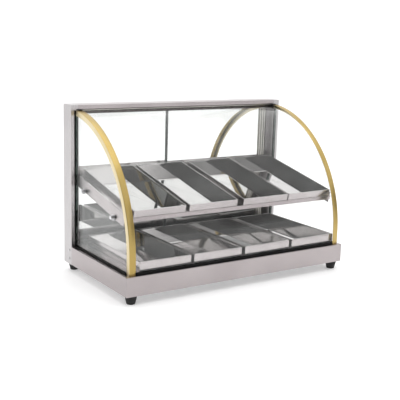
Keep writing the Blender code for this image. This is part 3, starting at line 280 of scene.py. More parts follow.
# finishes
def brushedMetal(name, colour, secondTone, roughness, stretch, scale=900, strength=0.05):
    material, tree, shader = startMaterial(name, colour, roughness[0], metallic=1.0)
    lines = grain(tree, stretch, scale)
    cloud = grain(tree, (1, 1, 1), 9, detail=3)
    tree.links.new(colourBetween(tree, cloud, colour, secondTone), shader.inputs["Base Color"])
    tree.links.new(between(tree, lines, *roughness), shader.inputs["Roughness"])
    bumpInto(tree, shader, lines, strength, 0.0004)
    return material


def plainCoat(name, colour, second, roughness, scale, strength, distance=0.0003, metallic=0.0):
    material, tree, shader = startMaterial(name, colour, roughness[0], metallic)
    speckle = grain(tree, (1, 1, 1), scale)
    cloud = grain(tree, (1, 1, 1), 14, detail=2)
    tree.links.new(colourBetween(tree, cloud, colour, second), shader.inputs["Base Color"])
    tree.links.new(between(tree, speckle, *roughness), shader.inputs["Roughness"])
    bumpInto(tree, shader, speckle, strength, distance)
    return material


def blend(tree, share, first, second):    # first where the share is 0, second where it is 1
    node = tree.nodes.new("ShaderNodeMix")
    node.data_type = "RGBA"
    tree.links.new(share, node.inputs["Factor"])
    tree.links.new(first, node.inputs[6])
    tree.links.new(second, node.inputs[7])
    return node.outputs[2]


def polishedTraySteel():
    # mirror polish inside the pan, the base's satin finish outside; the pan's own attribute says where
    material, tree, shader = startMaterial("trayPolish", (0.75, 0.74, 0.735), 0.03, metallic=1.0)
    side = tree.nodes.new("ShaderNodeAttribute")
    side.attribute_name = "insideOfPan"
    inside = side.outputs["Fac"]
    streaks = grain(tree, (60, 2, 60), 14, detail=5)
    smears = grain(tree, (1, 1, 1), 26, detail=4)
    lines = grain(tree, (1, 45, 45), 900)
    polished = colourBetween(tree, smears, (0.66, 0.65, 0.645), (0.71, 0.70, 0.695))
    satin = colourBetween(tree, smears, (0.46, 0.43, 0.43), (0.50, 0.465, 0.465))
    tree.links.new(blend(tree, inside, satin, polished), shader.inputs["Base Color"])
    mirror = calculate(tree, "MULTIPLY", inside, between(tree, streaks, 0.012, 0.04))
    outside = calculate(tree, "SUBTRACT", 1.0, inside)
    dull = calculate(tree, "MULTIPLY", outside, between(tree, lines, 0.14, 0.26))
    tree.links.new(calculate(tree, "ADD", mirror, dull), shader.inputs["Roughness"])
    waves = grain(tree, (1, 1, 1), 7, detail=0)
    bumpInto(tree, shader, waves, 0.010, 0.002)
    return material


paneLook = {"mirrorPower": 5.0, "mirrorShare": 0.5, "edgeDensity": 0.60}


def clearGlass(name, edgeAxis, edgeIsAlong, veil):
    # a thin pane: what it doesn't mirror passes straight through; its ground edges are dark and denser
    material, tree, shader = startMaterial(name, (0.95, 0.98, 0.965), 0.015, metallic=1.0)
    slant = tree.nodes.new("ShaderNodeLayerWeight")
    slant.inputs["Blend"].default_value = 0.5
    slope = calculate(tree, "POWER", slant.outputs["Facing"], paneLook["mirrorPower"])
    steep = calculate(tree, "MULTIPLY", slope, paneLook["mirrorShare"])
    smears = grain(tree, (1, 1, 1), 7, detail=5)
    haze = between(tree, smears, *veil)
    across = calculate(tree, "ABSOLUTE", along(tree, "Normal", edgeAxis))
    edge = calculate(tree, "GREATER_THAN" if edgeIsAlong else "LESS_THAN", across, 0.5)
    clear = calculate(tree, "ADD", steep, haze)
    dense = calculate(tree, "MULTIPLY", edge, paneLook["edgeDensity"])
    total = calculate(tree, "MAXIMUM", clear, dense)
    tree.links.new(total, shader.inputs["Alpha"])
    tree.links.new(colourBetween(tree, edge, (0.97, 0.985, 0.975), (0.11, 0.15, 0.13), 0.4, 0.6),
                   shader.inputs["Base Color"])
    tree.links.new(between(tree, smears, 0.01, 0.05), shader.inputs["Roughness"])
    return material


ribbed = {"pitch": 0.00825, "gap": 0.00525}    # the pull's own ribs; their crests painted bright, a painted highlight, and their grooves painted darker, painted shade


def ribbedAluminium(side):
    low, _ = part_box(f"door_pull_{side}")
    material, tree, shader = startMaterial(f"ribbedPull_{side}", (0.30, 0.29, 0.26), 0.25, metallic=1.0)
    fromEdge = calculate(tree, "SUBTRACT", along(tree, "Object", "X"), low.x)
    across = calculate(tree, "DIVIDE", fromEdge, ribbed["pitch"])
    litCrest = calculate(tree, "GREATER_THAN", calculate(tree, "FRACT", across), ribbed["gap"] / ribbed["pitch"])
    cloud = grain(tree, (1, 1, 1), 9, detail=3)
    lines = grain(tree, (45, 45, 1), 900)
    # painted shade in the grooves and a painted highlight on the crests: lit and shaded copies of the pull's
    # aluminium
    shadedGroove = colourBetween(tree, cloud, (0.15, 0.142, 0.122), (0.20, 0.19, 0.165))
    secondTone = colourBetween(tree, cloud, (0.46, 0.45, 0.42), (0.54, 0.53, 0.50))
    tree.links.new(blend(tree, litCrest, shadedGroove, secondTone), shader.inputs["Base Color"])
    tree.links.new(between(tree, lines, 0.20, 0.34), shader.inputs["Roughness"])
    bumpInto(tree, shader, lines, 0.05, 0.0004)
    return material


glintLine = {"above": 0.0095, "half": 0.0012}


def trackAnodised():
    # black channel whose front lip carries one bright line along it, a painted highlight, as on the upper track
    low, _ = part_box("door_track_upper")
    material, tree, shader = startMaterial("trackUpper", (0.05, 0.046, 0.042), 0.24, metallic=0.6)
    height = calculate(tree, "SUBTRACT", along(tree, "Object", "Z"), low.z + glintLine["above"])
    fromMiddle = calculate(tree, "ABSOLUTE", height)
    glintBand = between(tree, fromMiddle, 1, 0, glintLine["half"] * 0.7, glintLine["half"] * 1.3)
    speckle = grain(tree, (1, 1, 1), 900)
    cloud = grain(tree, (1, 1, 1), 14, detail=2)
    black = colourBetween(tree, cloud, (0.050, 0.046, 0.042), (0.070, 0.064, 0.058))
    # the bright colour is the painted highlight along the lip
    bright = colourBetween(tree, cloud, (0.50, 0.48, 0.44), (0.58, 0.56, 0.52))
    tree.links.new(blend(tree, glintBand, black, bright), shader.inputs["Base Color"])
    tree.links.new(between(tree, speckle, 0.18, 0.30), shader.inputs["Roughness"])
    bumpInto(tree, shader, speckle, 0.10, 0.0003)
    return material


def mirrorGlass():
    # silvered glass: mirror towards the trays, grey backing paint behind, dark ground edges
    material, tree, shader = startMaterial("mirrorDoor", (0.84, 0.86, 0.85), 0.02, metallic=1.0)
    towardsFront = along(tree, "Normal", "Y")
    silver = calculate(tree, "LESS_THAN", towardsFront, -0.5)
    paint = calculate(tree, "GREATER_THAN", towardsFront, 0.5)
    smears = grain(tree, (1, 1, 1), 12, detail=5)
    speckle = grain(tree, (1, 1, 1), 900, detail=2)
    behind = colourBetween(tree, paint, (0.10, 0.13, 0.12), (0.30, 0.31, 0.32), 0.4, 0.6)
    front = colourBetween(tree, smears, (0.88, 0.90, 0.89), (0.92, 0.93, 0.92))
    tree.links.new(blend(tree, silver, behind, front), shader.inputs["Base Color"])
    tree.links.new(silver, shader.inputs["Metallic"])
    dull = calculate(tree, "MULTIPLY", calculate(tree, "SUBTRACT", 1.0, silver),
                     between(tree, speckle, 0.40, 0.55))
    shine = calculate(tree, "MULTIPLY", silver, between(tree, smears, 0.008, 0.03))
    tree.links.new(calculate(tree, "ADD", dull, shine), shader.inputs["Roughness"])
    return material


def goldAnodised():
    # satin gold on the front flange; the side flange painted paler, a painted highlight
    material, tree, shader = startMaterial("goldAngle", (0.44, 0.32, 0.11), 0.24, metallic=1.0)
    cloud = grain(tree, (1, 1, 1), 9, detail=3)
    lines = grain(tree, (45, 2, 2), 900)
    front = colourBetween(tree, cloud, (0.43, 0.31, 0.105), (0.49, 0.365, 0.14))
    # the paler side-flange colour is a painted highlight, set by which way the face turns
    side = colourBetween(tree, cloud, (0.66, 0.55, 0.33), (0.72, 0.62, 0.40))
    across = between(tree, calculate(tree, "ABSOLUTE", along(tree, "Normal", "X")), 0, 1, 0.35, 0.95)
    tree.links.new(blend(tree, across, front, side), shader.inputs["Base Color"])
    tree.links.new(between(tree, lines, 0.24, 0.36), shader.inputs["Roughness"])
    bumpInto(tree, shader, lines, 0.03, 0.0004)
    return material


def zincSpangle():
    material, tree, shader = startMaterial("zincSpangle", (0.60, 0.62, 0.63), 0.4, metallic=1.0)
    place = tree.nodes.new("ShaderNodeTexCoord")
    flakes = tree.nodes.new("ShaderNodeTexVoronoi")
    flakes.inputs["Scale"].default_value = 120
    tree.links.new(place.outputs["Object"], flakes.inputs["Vector"])
    split = tree.nodes.new("ShaderNodeSeparateColor")
    tree.links.new(flakes.outputs["Color"], split.inputs["Color"])
    tree.links.new(colourBetween(tree, split.outputs["Red"], (0.50, 0.52, 0.53), (0.70, 0.72, 0.73), 0, 1),
                   shader.inputs["Base Color"])
    tree.links.new(between(tree, split.outputs["Green"], 0.30, 0.52, 0, 1), shader.inputs["Roughness"])
    return material


def heatedSheath():
    material, tree, shader = startMaterial("heatedSheath", (0.20, 0.17, 0.15), 0.5, metallic=1.0)
    tint = grain(tree, (3, 3, 3), 6, detail=4)
    tree.links.new(colourBetween(tree, tint, (0.13, 0.11, 0.11), (0.36, 0.27, 0.19)),
                   shader.inputs["Base Color"])
    scale = grain(tree, (1, 1, 1), 500)
    tree.links.new(between(tree, scale, 0.4, 0.7), shader.inputs["Roughness"])
    bumpInto(tree, shader, scale, 0.2, 0.0003)
    return material


def amberLens():
    material, tree, shader = startMaterial("amberLens", (0.85, 0.30, 0.03), 0.08)
    ripple = grain(tree, (1, 1, 1), 700, detail=2)
    tree.links.new(colourBetween(tree, ripple, (0.78, 0.24, 0.02), (0.92, 0.38, 0.06)),
                   shader.inputs["Base Color"])
    tree.links.new(between(tree, ripple, 0.05, 0.14), shader.inputs["Roughness"])
    shader.inputs["Transmission Weight"].default_value = 0.35
    bumpInto(tree, shader, ripple, 0.3, 0.0002)
    return material


satinSteel = brushedMetal("satinSteel", (0.40, 0.362, 0.365), (0.44, 0.40, 0.403), (0.20, 0.34), (1, 45, 45))
satinSteelUpright = brushedMetal("satinSteelUpright", (0.47, 0.45, 0.455), (0.50, 0.48, 0.485), (0.20, 0.34),
                                 (45, 45, 1))
trayPolish = polishedTraySteel()
goldAngle = goldAnodised()
chromePlate = brushedMetal("chromePlate", (0.62, 0.62, 0.63), (0.68, 0.68, 0.69), (0.04, 0.10), (1, 1, 1),
                           scale=300, strength=0.02)
pullAluminium = brushedMetal("pullAluminium", (0.24, 0.23, 0.20), (0.31, 0.295, 0.265), (0.20, 0.34),
                             (45, 45, 1))
copperTube = brushedMetal("copperTube", (0.72, 0.38, 0.23), (0.60, 0.30, 0.18), (0.22, 0.38), (1, 20, 20))
frontPane = clearGlass("frontPane", "X", True, (0.020, 0.035))
sidePane = clearGlass("sidePane", "X", False, (0.060, 0.090))
mirrorDoor = mirrorGlass()
sealRubber = plainCoat("sealRubber", (0.005, 0.005, 0.005), (0.010, 0.009, 0.009), (0.50, 0.70), 700, 0.25)
sealRubber.node_tree.nodes["Principled BSDF"].inputs["Specular IOR Level"].default_value = 0.12
trackBlack = plainCoat("trackBlack", (0.050, 0.046, 0.042), (0.070, 0.064, 0.058), (0.18, 0.30), 900, 0.10,
                       metallic=0.6)
footRubber = plainCoat("footRubber", (0.010, 0.010, 0.010), (0.024, 0.023, 0.022), (0.60, 0.85), 500, 0.45)
mouldedBlack = plainCoat("mouldedBlack", (0.022, 0.022, 0.023), (0.032, 0.032, 0.033), (0.30, 0.48), 1200, 0.30)
mineralBoard = plainCoat("mineralBoard", (0.74, 0.71, 0.64), (0.84, 0.81, 0.75), (0.88, 1.0), 260, 0.7, 0.001)
whitePlastic = plainCoat("whitePlastic", (0.80, 0.80, 0.76), (0.86, 0.86, 0.83), (0.30, 0.42), 900, 0.15)
wireSleeve = plainCoat("wireSleeve", (0.42, 0.06, 0.05), (0.52, 0.09, 0.07), (0.38, 0.55), 700, 0.25)

slotFinish = {
    "satin_steel": satinSteel, "galvanised_steel": zincSpangle(), "polished_steel": trayPolish,
    "chrome": chromePlate, "gold_anodised": goldAngle, "clear_glass": sidePane, "mirror_glass": mirrorDoor,
    "black_seal": sealRubber, "track_black": trackBlack, "satin_aluminium": pullAluminium,
    "foot_rubber": footRubber, "black_plastic": mouldedBlack, "heater_sheath": heatedSheath(),
    "insulation": mineralBoard, "copper": copperTube, "amber_lens": amberLens(),
    "white_plastic": whitePlastic, "wire_insulation": wireSleeve,
}


def dressNodes():    # a node with its own run of the metal gets its own finish
    for node in nodes.values():
        holder = node.material_slots[0]
        holder.material = slotFinish[holder.material.name.split(".")[0]]
    for name in ("post_left", "post_right"):
        nodes[name].material_slots[0].material = satinSteelUpright
    for side in sides:
        nodes[f"door_pull_{side}"].material_slots[0].material = ribbedAluminium(side)
    nodes["door_track_upper"].material_slots[0].material = trackAnodised()


dressNodes()
print("finishes made:", len(slotFinish), "slots")


# folded sheet and mouldings from the frame keep their shape and get soft edges
softEdges = {
    "base_shell": 0.0004, "rear_panel": 0.0005, "deck_plate": 0.0003, "base_bottom_plate": 0.0003,
    "post_left": 0.0005, "post_right": 0.0005, "top_beam": 0.0005,
    "door_track_lower": 0.0003, "door_track_upper": 0.0003,
    "door_left": 0.0003, "door_right": 0.0003, "door_pull_left": 0.0002, "door_pull_right": 0.0002,
    "side_seal_left": 0.0004, "side_seal_right": 0.0004, "front_seal": 0.0006,
    "rack_rail_front": 0.0003, "rack_rail_rear": 0.0003,
    "insulation_board": 0.0008, "heater_bracket_left": 0.0003, "heater_bracket_right": 0.0003,
    "thermostat_body": 0.0006, "switch_housing": 0.0004, "switch_rocker": 0.0004, "terminal_block": 0.0005,
}


def softenNode(name, width):
    node = nodes[name]
    weld = node.modifiers.new("weld", "WELD")
    weld.merge_threshold = mergeDistance
    flat = node.modifiers.new("flat", "DECIMATE")
    flat.decimate_type = "DISSOLVE"
    flat.angle_limit = math.radians(1)
    edge = node.modifiers.new("edge", "BEVEL")
    edge.width = width
    edge.segments = 2
    edge.limit_method = "ANGLE"
    edge.angle_limit = math.radians(30)
    node.modifiers.new("even", "WEIGHTED_NORMAL")


for name, width in softEdges.items():
    softenNode(name, width)
print("edges softened:", len(softEdges))


# curved glazing: a straight foot, then one arc
glazing = {"straightFoot": 0.035, "arcDegrees": 84.0, "steps": 72}
trimLow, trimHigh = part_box("trim_left")
arcLevel = trimLow.z + glazing["straightFoot"]
arcTurn = math.radians(glazing["arcDegrees"])
arcMiddle = trimLow.y + (trimHigh.z - arcLevel) / math.sin(arcTurn)


def startUpright(name, low, high):    # the straight foot, as a sheet that faces the customer
    clearSelection()
    bpy.ops.mesh.primitive_plane_add(size=1, location=((low.x + high.x) / 2, low.y, (low.z + arcLevel) / 2),
                                     rotation=(math.pi / 2, 0, 0))
    piece = bpy.context.active_object
    piece.name = name
    piece.scale = (high.x - low.x, arcLevel - low.z, 1)
    applyPlace(piece)
    return piece


def sweepArc(piece, sheet, edge):
    top = arcLevel - closeBy
    pickEdges(piece, lambda first, second: first.z > top and second.z > top)
    bpy.ops.mesh.spin(steps=glazing["steps"], angle=arcTurn, center=(0, arcMiddle, arcLevel), axis=(1, 0, 0))
    bpy.ops.mesh.select_all(action="SELECT")
    bpy.ops.mesh.remove_doubles(threshold=mergeDistance)
    bpy.ops.mesh.normals_make_consistent(inside=False)
    shape = bmesh.from_edit_mesh(piece.data)
    front = min(shape.faces, key=lambda face: face.calc_center_median().y)
    if front.normal.y > 0:
        bpy.ops.mesh.flip_normals()
    closeEdit()
    applyModifier(piece, "SOLIDIFY", thickness=sheet, offset=-1, use_even_offset=True)
    roundOff(piece, edge, degrees=60)
    smoothShade(piece, 30)


frontGlass = {"thickness": 0.003, "edge": 0.0004}


def makeFrontGlass():
    low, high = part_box("front_glass")
    pane = startUpright("curvedFrontPane", low, high)
    openEdit(pane)
    sweepArc(pane, frontGlass["thickness"], frontGlass["edge"])
    settle(pane, "case", "clear_glass", frontPane, "front_glass")


goldTrim = {"sideFlange": 0.014, "sheet": 0.0012, "bend": 0.0016, "edge": 0.00025}


def makeTrim(side):
    low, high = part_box(f"trim_{side}")
    trim = startUpright(f"goldTrim_{side}", low, high)
    corner = low.x if side == "left" else high.x
    openEdit(trim)
    pickEdges(trim, lambda first, second: abs(first.x - corner) < closeBy and abs(second.x - corner) < closeBy)
    extrude((0, goldTrim["sideFlange"], 0))
    pickEdges(trim, lambda first, second: all(abs(end.x - corner) < closeBy and abs(end.y - low.y) < closeBy
                                              for end in (first, second)))
    bpy.ops.mesh.bevel(offset=goldTrim["bend"], segments=4, affect="EDGES")
    sweepArc(trim, goldTrim["sheet"], goldTrim["edge"])
    settle(trim, "case", "gold_anodised", goldAngle, f"trim_{side}")


makeFrontGlass()
for side in sides:
    makeTrim(side)
print("glazing swept")


# trays: one pressed pan, copied to its eight places
pan = {"corner": 0.0014, "foot": 0.0008, "hem": 0.0022, "hemDepth": 0.0045, "wall": 0.001, "floor": 0.001,
       "inside": 0.0005, "rim": 0.0005, "slopeDegrees": 11.8}


def makePan():
    low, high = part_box("tray_lower_1")
    size = high - low
    piece = startCube("panPattern", (0, 0, 0), size)
    openEdit(piece)
    pickEdges(piece, lambda first, second: abs(first.z - second.z) > size.z / 2)
    bpy.ops.mesh.bevel(offset=pan["corner"], segments=5, affect="EDGES")
    pickEdges(piece, lambda first, second: first.z < closeBy and second.z < closeBy)
    bpy.ops.mesh.bevel(offset=pan["foot"], segments=3, affect="EDGES")
    pickFaces(piece, lambda centre, normal: normal.z > 0.9)
    bpy.ops.mesh.inset(thickness=pan["hem"])
    extrude((0, 0, -pan["hemDepth"]))
    bpy.ops.mesh.extrude_region_move(TRANSFORM_OT_translate={"value": (0, 0, 0)})
    wide = [(side - 2 * pan["wall"]) / (side - 2 * pan["hem"]) for side in size[:2]]
    bpy.ops.transform.resize(value=(*wide, 1), center_override=(size.x / 2, size.y / 2, 0))
    extrude((0, 0, -(size.z - pan["hemDepth"] - pan["floor"])))
    floorLevel = pan["floor"] + closeBy
    inner = pan["wall"] / 2
    pickEdges(piece, lambda first, second: all(pan["floor"] - closeBy < end.z < floorLevel
                                               and inner < end.x < size.x - inner
                                               and inner < end.y < size.y - inner for end in (first, second)))
    bpy.ops.mesh.bevel(offset=pan["inside"], segments=3, affect="EDGES")
    rimLevel = size.z - closeBy
    pickEdges(piece, lambda first, second: first.z > rimLevel and second.z > rimLevel)
    bpy.ops.mesh.bevel(offset=pan["rim"], segments=3, affect="EDGES")
    closeEdit()
    smoothShade(piece, 50)
    markInside(piece, size)
    return piece


def markInside(piece, size):    # 1 on the hollow's own faces, 0 on the outer walls and underside
    middle = size / 2
    flags = piece.data.attributes.new("insideOfPan", "FLOAT", "FACE")
    for face, flag in zip(piece.data.polygons, flags.data):
        towardsMiddle = (middle - face.center).dot(face.normal) > 0
        inHollow = face.center.z < size.z - pan["rim"] and pan["floor"] / 2 < face.center.z
        flag.value = 1.0 if towardsMiddle and inHollow or face.normal.z > 0.5 else 0.0


def placePans():
    pattern = makePan()
    slope = math.radians(pan["slopeDegrees"])
    height = pattern.dimensions.z
    for row in ("upper", "lower"):
        for number in range(1, 5):
            low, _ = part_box(f"tray_{row}_{number}")
            piece = copyPiece(pattern, f"pan_{row}_{number}")
            piece.location = low
            if row == "upper":
                piece.location.y += height * math.sin(slope)
                piece.rotation_euler.x = slope
            settle(piece, f"tray_{row}_{number}", "polished_steel", trayPolish, f"tray_{row}_{number}")
    bpy.data.objects.remove(pattern)


placePans()
print("trays pressed and placed")


# rack side bars: folded angle, its wall rises beside the outer tray and its foot clears the nuts
sideBar = {"sheet": 0.0012, "drop": 0.013, "rise": 0.0215, "foot": 0.003, "edge": 0.0003}


def makeSideBar(side):
    low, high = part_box(f"rack_side_bar_{side}")
    slope = math.radians(pan["slopeDegrees"])
    length = (high.y - low.y - sideBar["drop"] * math.sin(slope)) / math.cos(slope)
    wide, tall = high.x - low.x, sideBar["drop"] + sideBar["rise"]
    outer = (0, sideBar["sheet"]) if side == "left" else (wide - sideBar["sheet"], wide)
    inward = 1 if side == "left" else -1
    bar = startCube(f"rackSideBar_{side}", (outer[0], 0, sideBar["foot"]), (outer[1], length, tall))
    openEdit(bar)
    for level in (sideBar["drop"] - sideBar["sheet"], sideBar["drop"]):
        bpy.ops.mesh.select_all(action="SELECT")
        bpy.ops.mesh.bisect(plane_co=(0, 0, level), plane_no=(0, 0, 1))
    pickFaces(bar, lambda centre, normal: normal.x * inward > 0.9
              and sideBar["drop"] - sideBar["sheet"] < centre.z < sideBar["drop"])
    extrude((inward * (wide - sideBar["sheet"]), 0, 0))
    closeEdit()
    roundOff(bar, sideBar["edge"])
    smoothShade(bar)
    bar.rotation_euler.x = slope
    bar.location = (low.x, low.y + sideBar["drop"] * math.sin(slope), low.z)
    settle(bar, "case", "satin_steel", satinSteel, f"rack_side_bar_{side}")


for side in sides:
    makeSideBar(side)
print("side bars folded")


# cap nuts outside the side glass, with the bolt behind them: one pattern, seat at zero, looking left
capNut = {"washerRadius": 0.0078, "washer": 0.0012, "hexRadius": 0.0066, "hex": 0.0038, "domeRadius": 0.0052,
          "dome": 0.0038, "shank": 0.0024}


def makeCapNut(inner):
    washer = startRod("capNutPattern", (0, 0, 0), (-1, 0, 0), capNut["washerRadius"], capNut["washer"], 40)
    roundOff(washer, 0.0003)
    reach = capNut["washer"]
    body = startRod("hexBody", (-reach, 0, 0), (-1, 0, 0), capNut["hexRadius"], capNut["hex"], 6)
    roundOff(body, 0.0005, 3)
    reach += capNut["hex"]
    cap = startRod("domeCap", (0.0002 - reach, 0, 0), (-1, 0, 0), capNut["domeRadius"],
                   capNut["dome"] + 0.0002, 32)
    roundOff(cap, capNut["dome"] * 0.95, 7, 60)
    shank = startRod("boltShank", (0, 0, 0), (1, 0, 0), capNut["shank"], inner, 24)
    roundOff(shank, 0.0004)
    nut = joinPieces(washer, body, cap, shank)
    smoothShade(nut, 35)
    return nut


def placeCapNuts():
    _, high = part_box("rack_bolt_left_front")
    paneLow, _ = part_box("side_glass_left")
    pattern = makeCapNut(high.x - paneLow.x)
    for side in sides:
        for place in ("front", "rear"):
            node = f"rack_bolt_{side}_{place}"
            low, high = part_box(node)
            middle = (low + high) / 2
            paneLow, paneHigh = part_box(f"side_glass_{side}")
            nut = copyPiece(pattern, f"capNut_{side}_{place}")
            seat = paneLow.x - fitGap if side == "left" else paneHigh.x + fitGap
            nut.location = (seat, middle.y, middle.z)
            nut.rotation_euler.z = 0 if side == "left" else math.pi
            settle(nut, "case", "chrome", chromePlate, node)
    bpy.data.objects.remove(pattern)


placeCapNuts()
print("cap nuts fitted")


# case screws on the posts: pan head, cross recess
caseScrew = {"crown": 0.0009, "shank": 0.0015, "slotWidth": 0.0007, "slotLength": 0.0036, "slotDepth": 0.0009}


def makeCaseScrew(headRadius, head, shankRadius, length):
    screw = startRod("caseScrewPattern", (0, 0, 0), (-1, 0, 0), headRadius, head, 32)
    roundOff(screw, caseScrew["crown"], 5, 60)
    wide, long = caseScrew["slotWidth"] / 2, caseScrew["slotLength"] / 2
    start, end = -head - 0.001, -head + caseScrew["slotDepth"]
    cross = startCube("crossSlot", (start, -wide, -long), (end, wide, long))
    bar = startCube("crossBar", (start, -long, -wide), (end, long, wide))
    for cutter in (cross, bar):
        applyModifier(screw, "BOOLEAN", object=cutter, operation="DIFFERENCE", solver="EXACT")
        bpy.data.objects.remove(cutter)
    shank = startRod("screwShank", (-0.0001, 0, 0), (1, 0, 0), shankRadius, length, 20)
    roundOff(shank, 0.0003)
    screw = joinPieces(screw, shank)
    smoothShade(screw, 35)
    return screw


def placeCaseScrews():
    low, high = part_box("post_screw_left_lower")
    postLow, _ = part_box("post_left")
    head = postLow.x - fitGap - low.x
    pattern = makeCaseScrew((high.z - low.z) / 2, head, caseScrew["shank"], high.x - postLow.x)
    for side in sides:
        for place in ("lower", "upper"):
            node = f"post_screw_{side}_{place}"
            low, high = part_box(node)
            middle = (low + high) / 2
            screw = copyPiece(pattern, f"caseScrew_{side}_{place}")
            screw.location = (low.x + head if side == "left" else high.x - head, middle.y, middle.z)
            screw.rotation_euler.z = 0 if side == "left" else math.pi
            settle(screw, "case", "chrome", chromePlate, node)
    bpy.data.objects.remove(pattern)


placeCaseScrews()
print("case screws driven")


# rubber feet: one pattern, standing at the origin
rubberFoot = {"topRadius": 0.016, "bottomRadius": 0.011, "height": 0.0217, "stem": 0.003, "round": 0.0014,
              "recess": 0.006, "recessDepth": 0.004}


def makeFoot(stemTop):
    foot = startRod("footPattern", (0, 0, 0), (0, 0, 1), rubberFoot["bottomRadius"], rubberFoot["height"], 48,
                    rubberFoot["topRadius"])
    openEdit(foot)
    pickFaces(foot, lambda centre, normal: normal.z < -0.9)
    bpy.ops.mesh.inset(thickness=rubberFoot["bottomRadius"] - rubberFoot["recess"])
    extrude((0, 0, rubberFoot["recessDepth"]))
    pickFaces(foot, lambda centre, normal: normal.z > 0.9)
    bpy.ops.mesh.inset(thickness=rubberFoot["topRadius"] - rubberFoot["stem"])
    extrude((0, 0, stemTop - rubberFoot["height"]))
    closeEdit()
    roundOff(foot, rubberFoot["round"], 3, 50)
    smoothShade(foot, 35)
    return foot


def placeFeet():
    low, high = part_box("foot_front_left")
    pattern = makeFoot(high.z - low.z)
    for place in ("front_left", "front_right", "rear_left", "rear_right"):
        node = f"foot_{place}"
        low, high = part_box(node)
        foot = copyPiece(pattern, f"rubberFoot_{place}")
        foot.location = ((low.x + high.x) / 2, (low.y + high.y) / 2, low.z)
        settle(foot, "case", "foot_rubber", footRubber, node)
    bpy.data.objects.remove(pattern)


placeFeet()
print("feet moulded")


# clips that hold the trims' top ends under the beam
trimClip = {"inset": 0.008, "width": 0.0098, "underBeam": 0.0113, "depth": 0.0041, "height": 0.0145,
            "lip": 0.0022, "lipReach": 0.007, "round": 0.0006}


def makeTrimClip(side):
    low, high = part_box(f"trim_{side}")
    postLow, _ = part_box(f"post_{side}")
    _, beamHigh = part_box("top_beam")
    top = beamHigh.z - trimClip["underBeam"]
    near = low.x + trimClip["inset"] if side == "left" else high.x - trimClip["inset"] - trimClip["width"]
    back = postLow.y - fitGap
    clip = startCube(f"trimClip_{side}", (near, back - trimClip["depth"], top - trimClip["height"]),
                     (near + trimClip["width"], back, top))
    openEdit(clip)
    bpy.ops.mesh.select_all(action="SELECT")
    bpy.ops.mesh.bisect(plane_co=(0, 0, top - trimClip["lip"]), plane_no=(0, 0, 1))
    front = back - trimClip["depth"] + closeBy
    pickFaces(clip, lambda centre, normal: normal.y < -0.9 and centre.y < front
              and centre.z > top - trimClip["lip"])
    extrude((0, -trimClip["lipReach"], 0))
    closeEdit()
    roundOff(clip, trimClip["round"], 3)
    smoothShade(clip)
    settle(clip, "case", "black_plastic", mouldedBlack)


for side in sides:
    makeTrimClip(side)
print("trim clips fitted")


# thermostat knob, with a pointer line, and plain marks round it on the panel
knob = {"skirt": 0.004, "grip": 0.010, "gripShort": 0.0025, "round": 0.0022, "flutes": 36, "flute": 0.0005,
        "pointerWidth": 0.0013, "pointerDepth": 0.0003, "markFrom": 0.0206, "markTo": 0.0230,
        "markWidth": 0.0007, "markHeight": 0.00015, "marks": 10, "sweepDegrees": 270}


def makeKnob():
    low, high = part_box("thermostat_knob")
    middle = (low + high) / 2
    radius = (high.x - low.x) / 2
    skirt = startRod("ovenKnob", (middle.x, low.y, middle.z), (0, 1, 0), radius, knob["skirt"],
                     2 * knob["flutes"])
    openEdit(skirt)
    step = 2 * math.pi / knob["flutes"]

    def inFlute(first, second):    # every other edge round the skirt's wall is drawn in
        turn = math.atan2((first.z + second.z) / 2 - middle.z, (first.x + second.x) / 2 - middle.x)
        return abs(first.y - second.y) > knob["skirt"] / 2 and round(turn / (step / 2)) % 2 == 0
    pickEdges(skirt, inFlute)
    shrink = 1 - knob["flute"] / radius
    bpy.ops.transform.resize(value=(shrink, 1, shrink), center_override=middle)
    closeEdit()
    roundOff(skirt, 0.0005, 2, 50)
    half = knob["grip"] / 2
    tall = radius - knob["gripShort"]
    grip = startCube("knobGrip", (middle.x - half, low.y + knob["skirt"] / 2, middle.z - tall),
                     (middle.x + half, high.y - knob["pointerDepth"], middle.z + tall))
    openEdit(grip)
    pickFaces(grip, lambda centre, normal: normal.y > 0.9)
    bpy.ops.transform.resize(value=(0.72, 1, 0.97), center_override=middle)
    closeEdit()
    roundOff(grip, knob["round"], 4)
    joinPieces(skirt, grip)
    smoothShade(skirt, 35)
    settle(skirt, "thermostat_knob", "black_plastic", mouldedBlack, "thermostat_knob")
    wide = knob["pointerWidth"] / 2
    pointer = startCube("knobPointer", (middle.x - wide, high.y - 0.002, middle.z + tall * 0.25),
                        (middle.x + wide, high.y, middle.z + tall * 0.82))
    roundOff(pointer, 0.0002, 2)
    smoothShade(pointer)
    settle(pointer, "thermostat_knob", "white_plastic", whitePlastic)


def makeDialMarks():
    low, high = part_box("thermostat_knob")
    middle = (low + high) / 2
    _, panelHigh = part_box("rear_panel")
    marks = []
    for number in range(knob["marks"]):
        turn = math.radians(knob["sweepDegrees"]) * (number / (knob["marks"] - 1) - 0.5)
        half = knob["markWidth"] / 2
        mark = startCube(f"dialMark_{number}", (-half, 0, knob["markFrom"]),
                         (half, knob["markHeight"], knob["markTo"]))
        roundOff(mark, 0.00005, 1)
        mark.rotation_euler.y = turn
        mark.location = (middle.x, panelHigh.y, middle.z)
        applyPlace(mark)
        marks.append(mark)
    dial = joinPieces(*marks)
    dial.name = "dialMarks"
    settle(dial, "case", "black_plastic", mouldedBlack)


makeKnob()
makeDialMarks()
print("knob turned and marked")


# cable gland, pilot lamp: round pieces on the rear panel
gland = {"collarRadius": 0.0105, "collar": 0.005, "capRadius": 0.009, "mouthRadius": 0.0062, "boreRadius": 0.004,
         "neckRadius": 0.0078, "neck": 0.010, "ribs": 20}
lamp = {"flangeRadius": 0.0065, "flange": 0.0015, "bodyRadius": 0.005, "lensRadius": 0.0042}


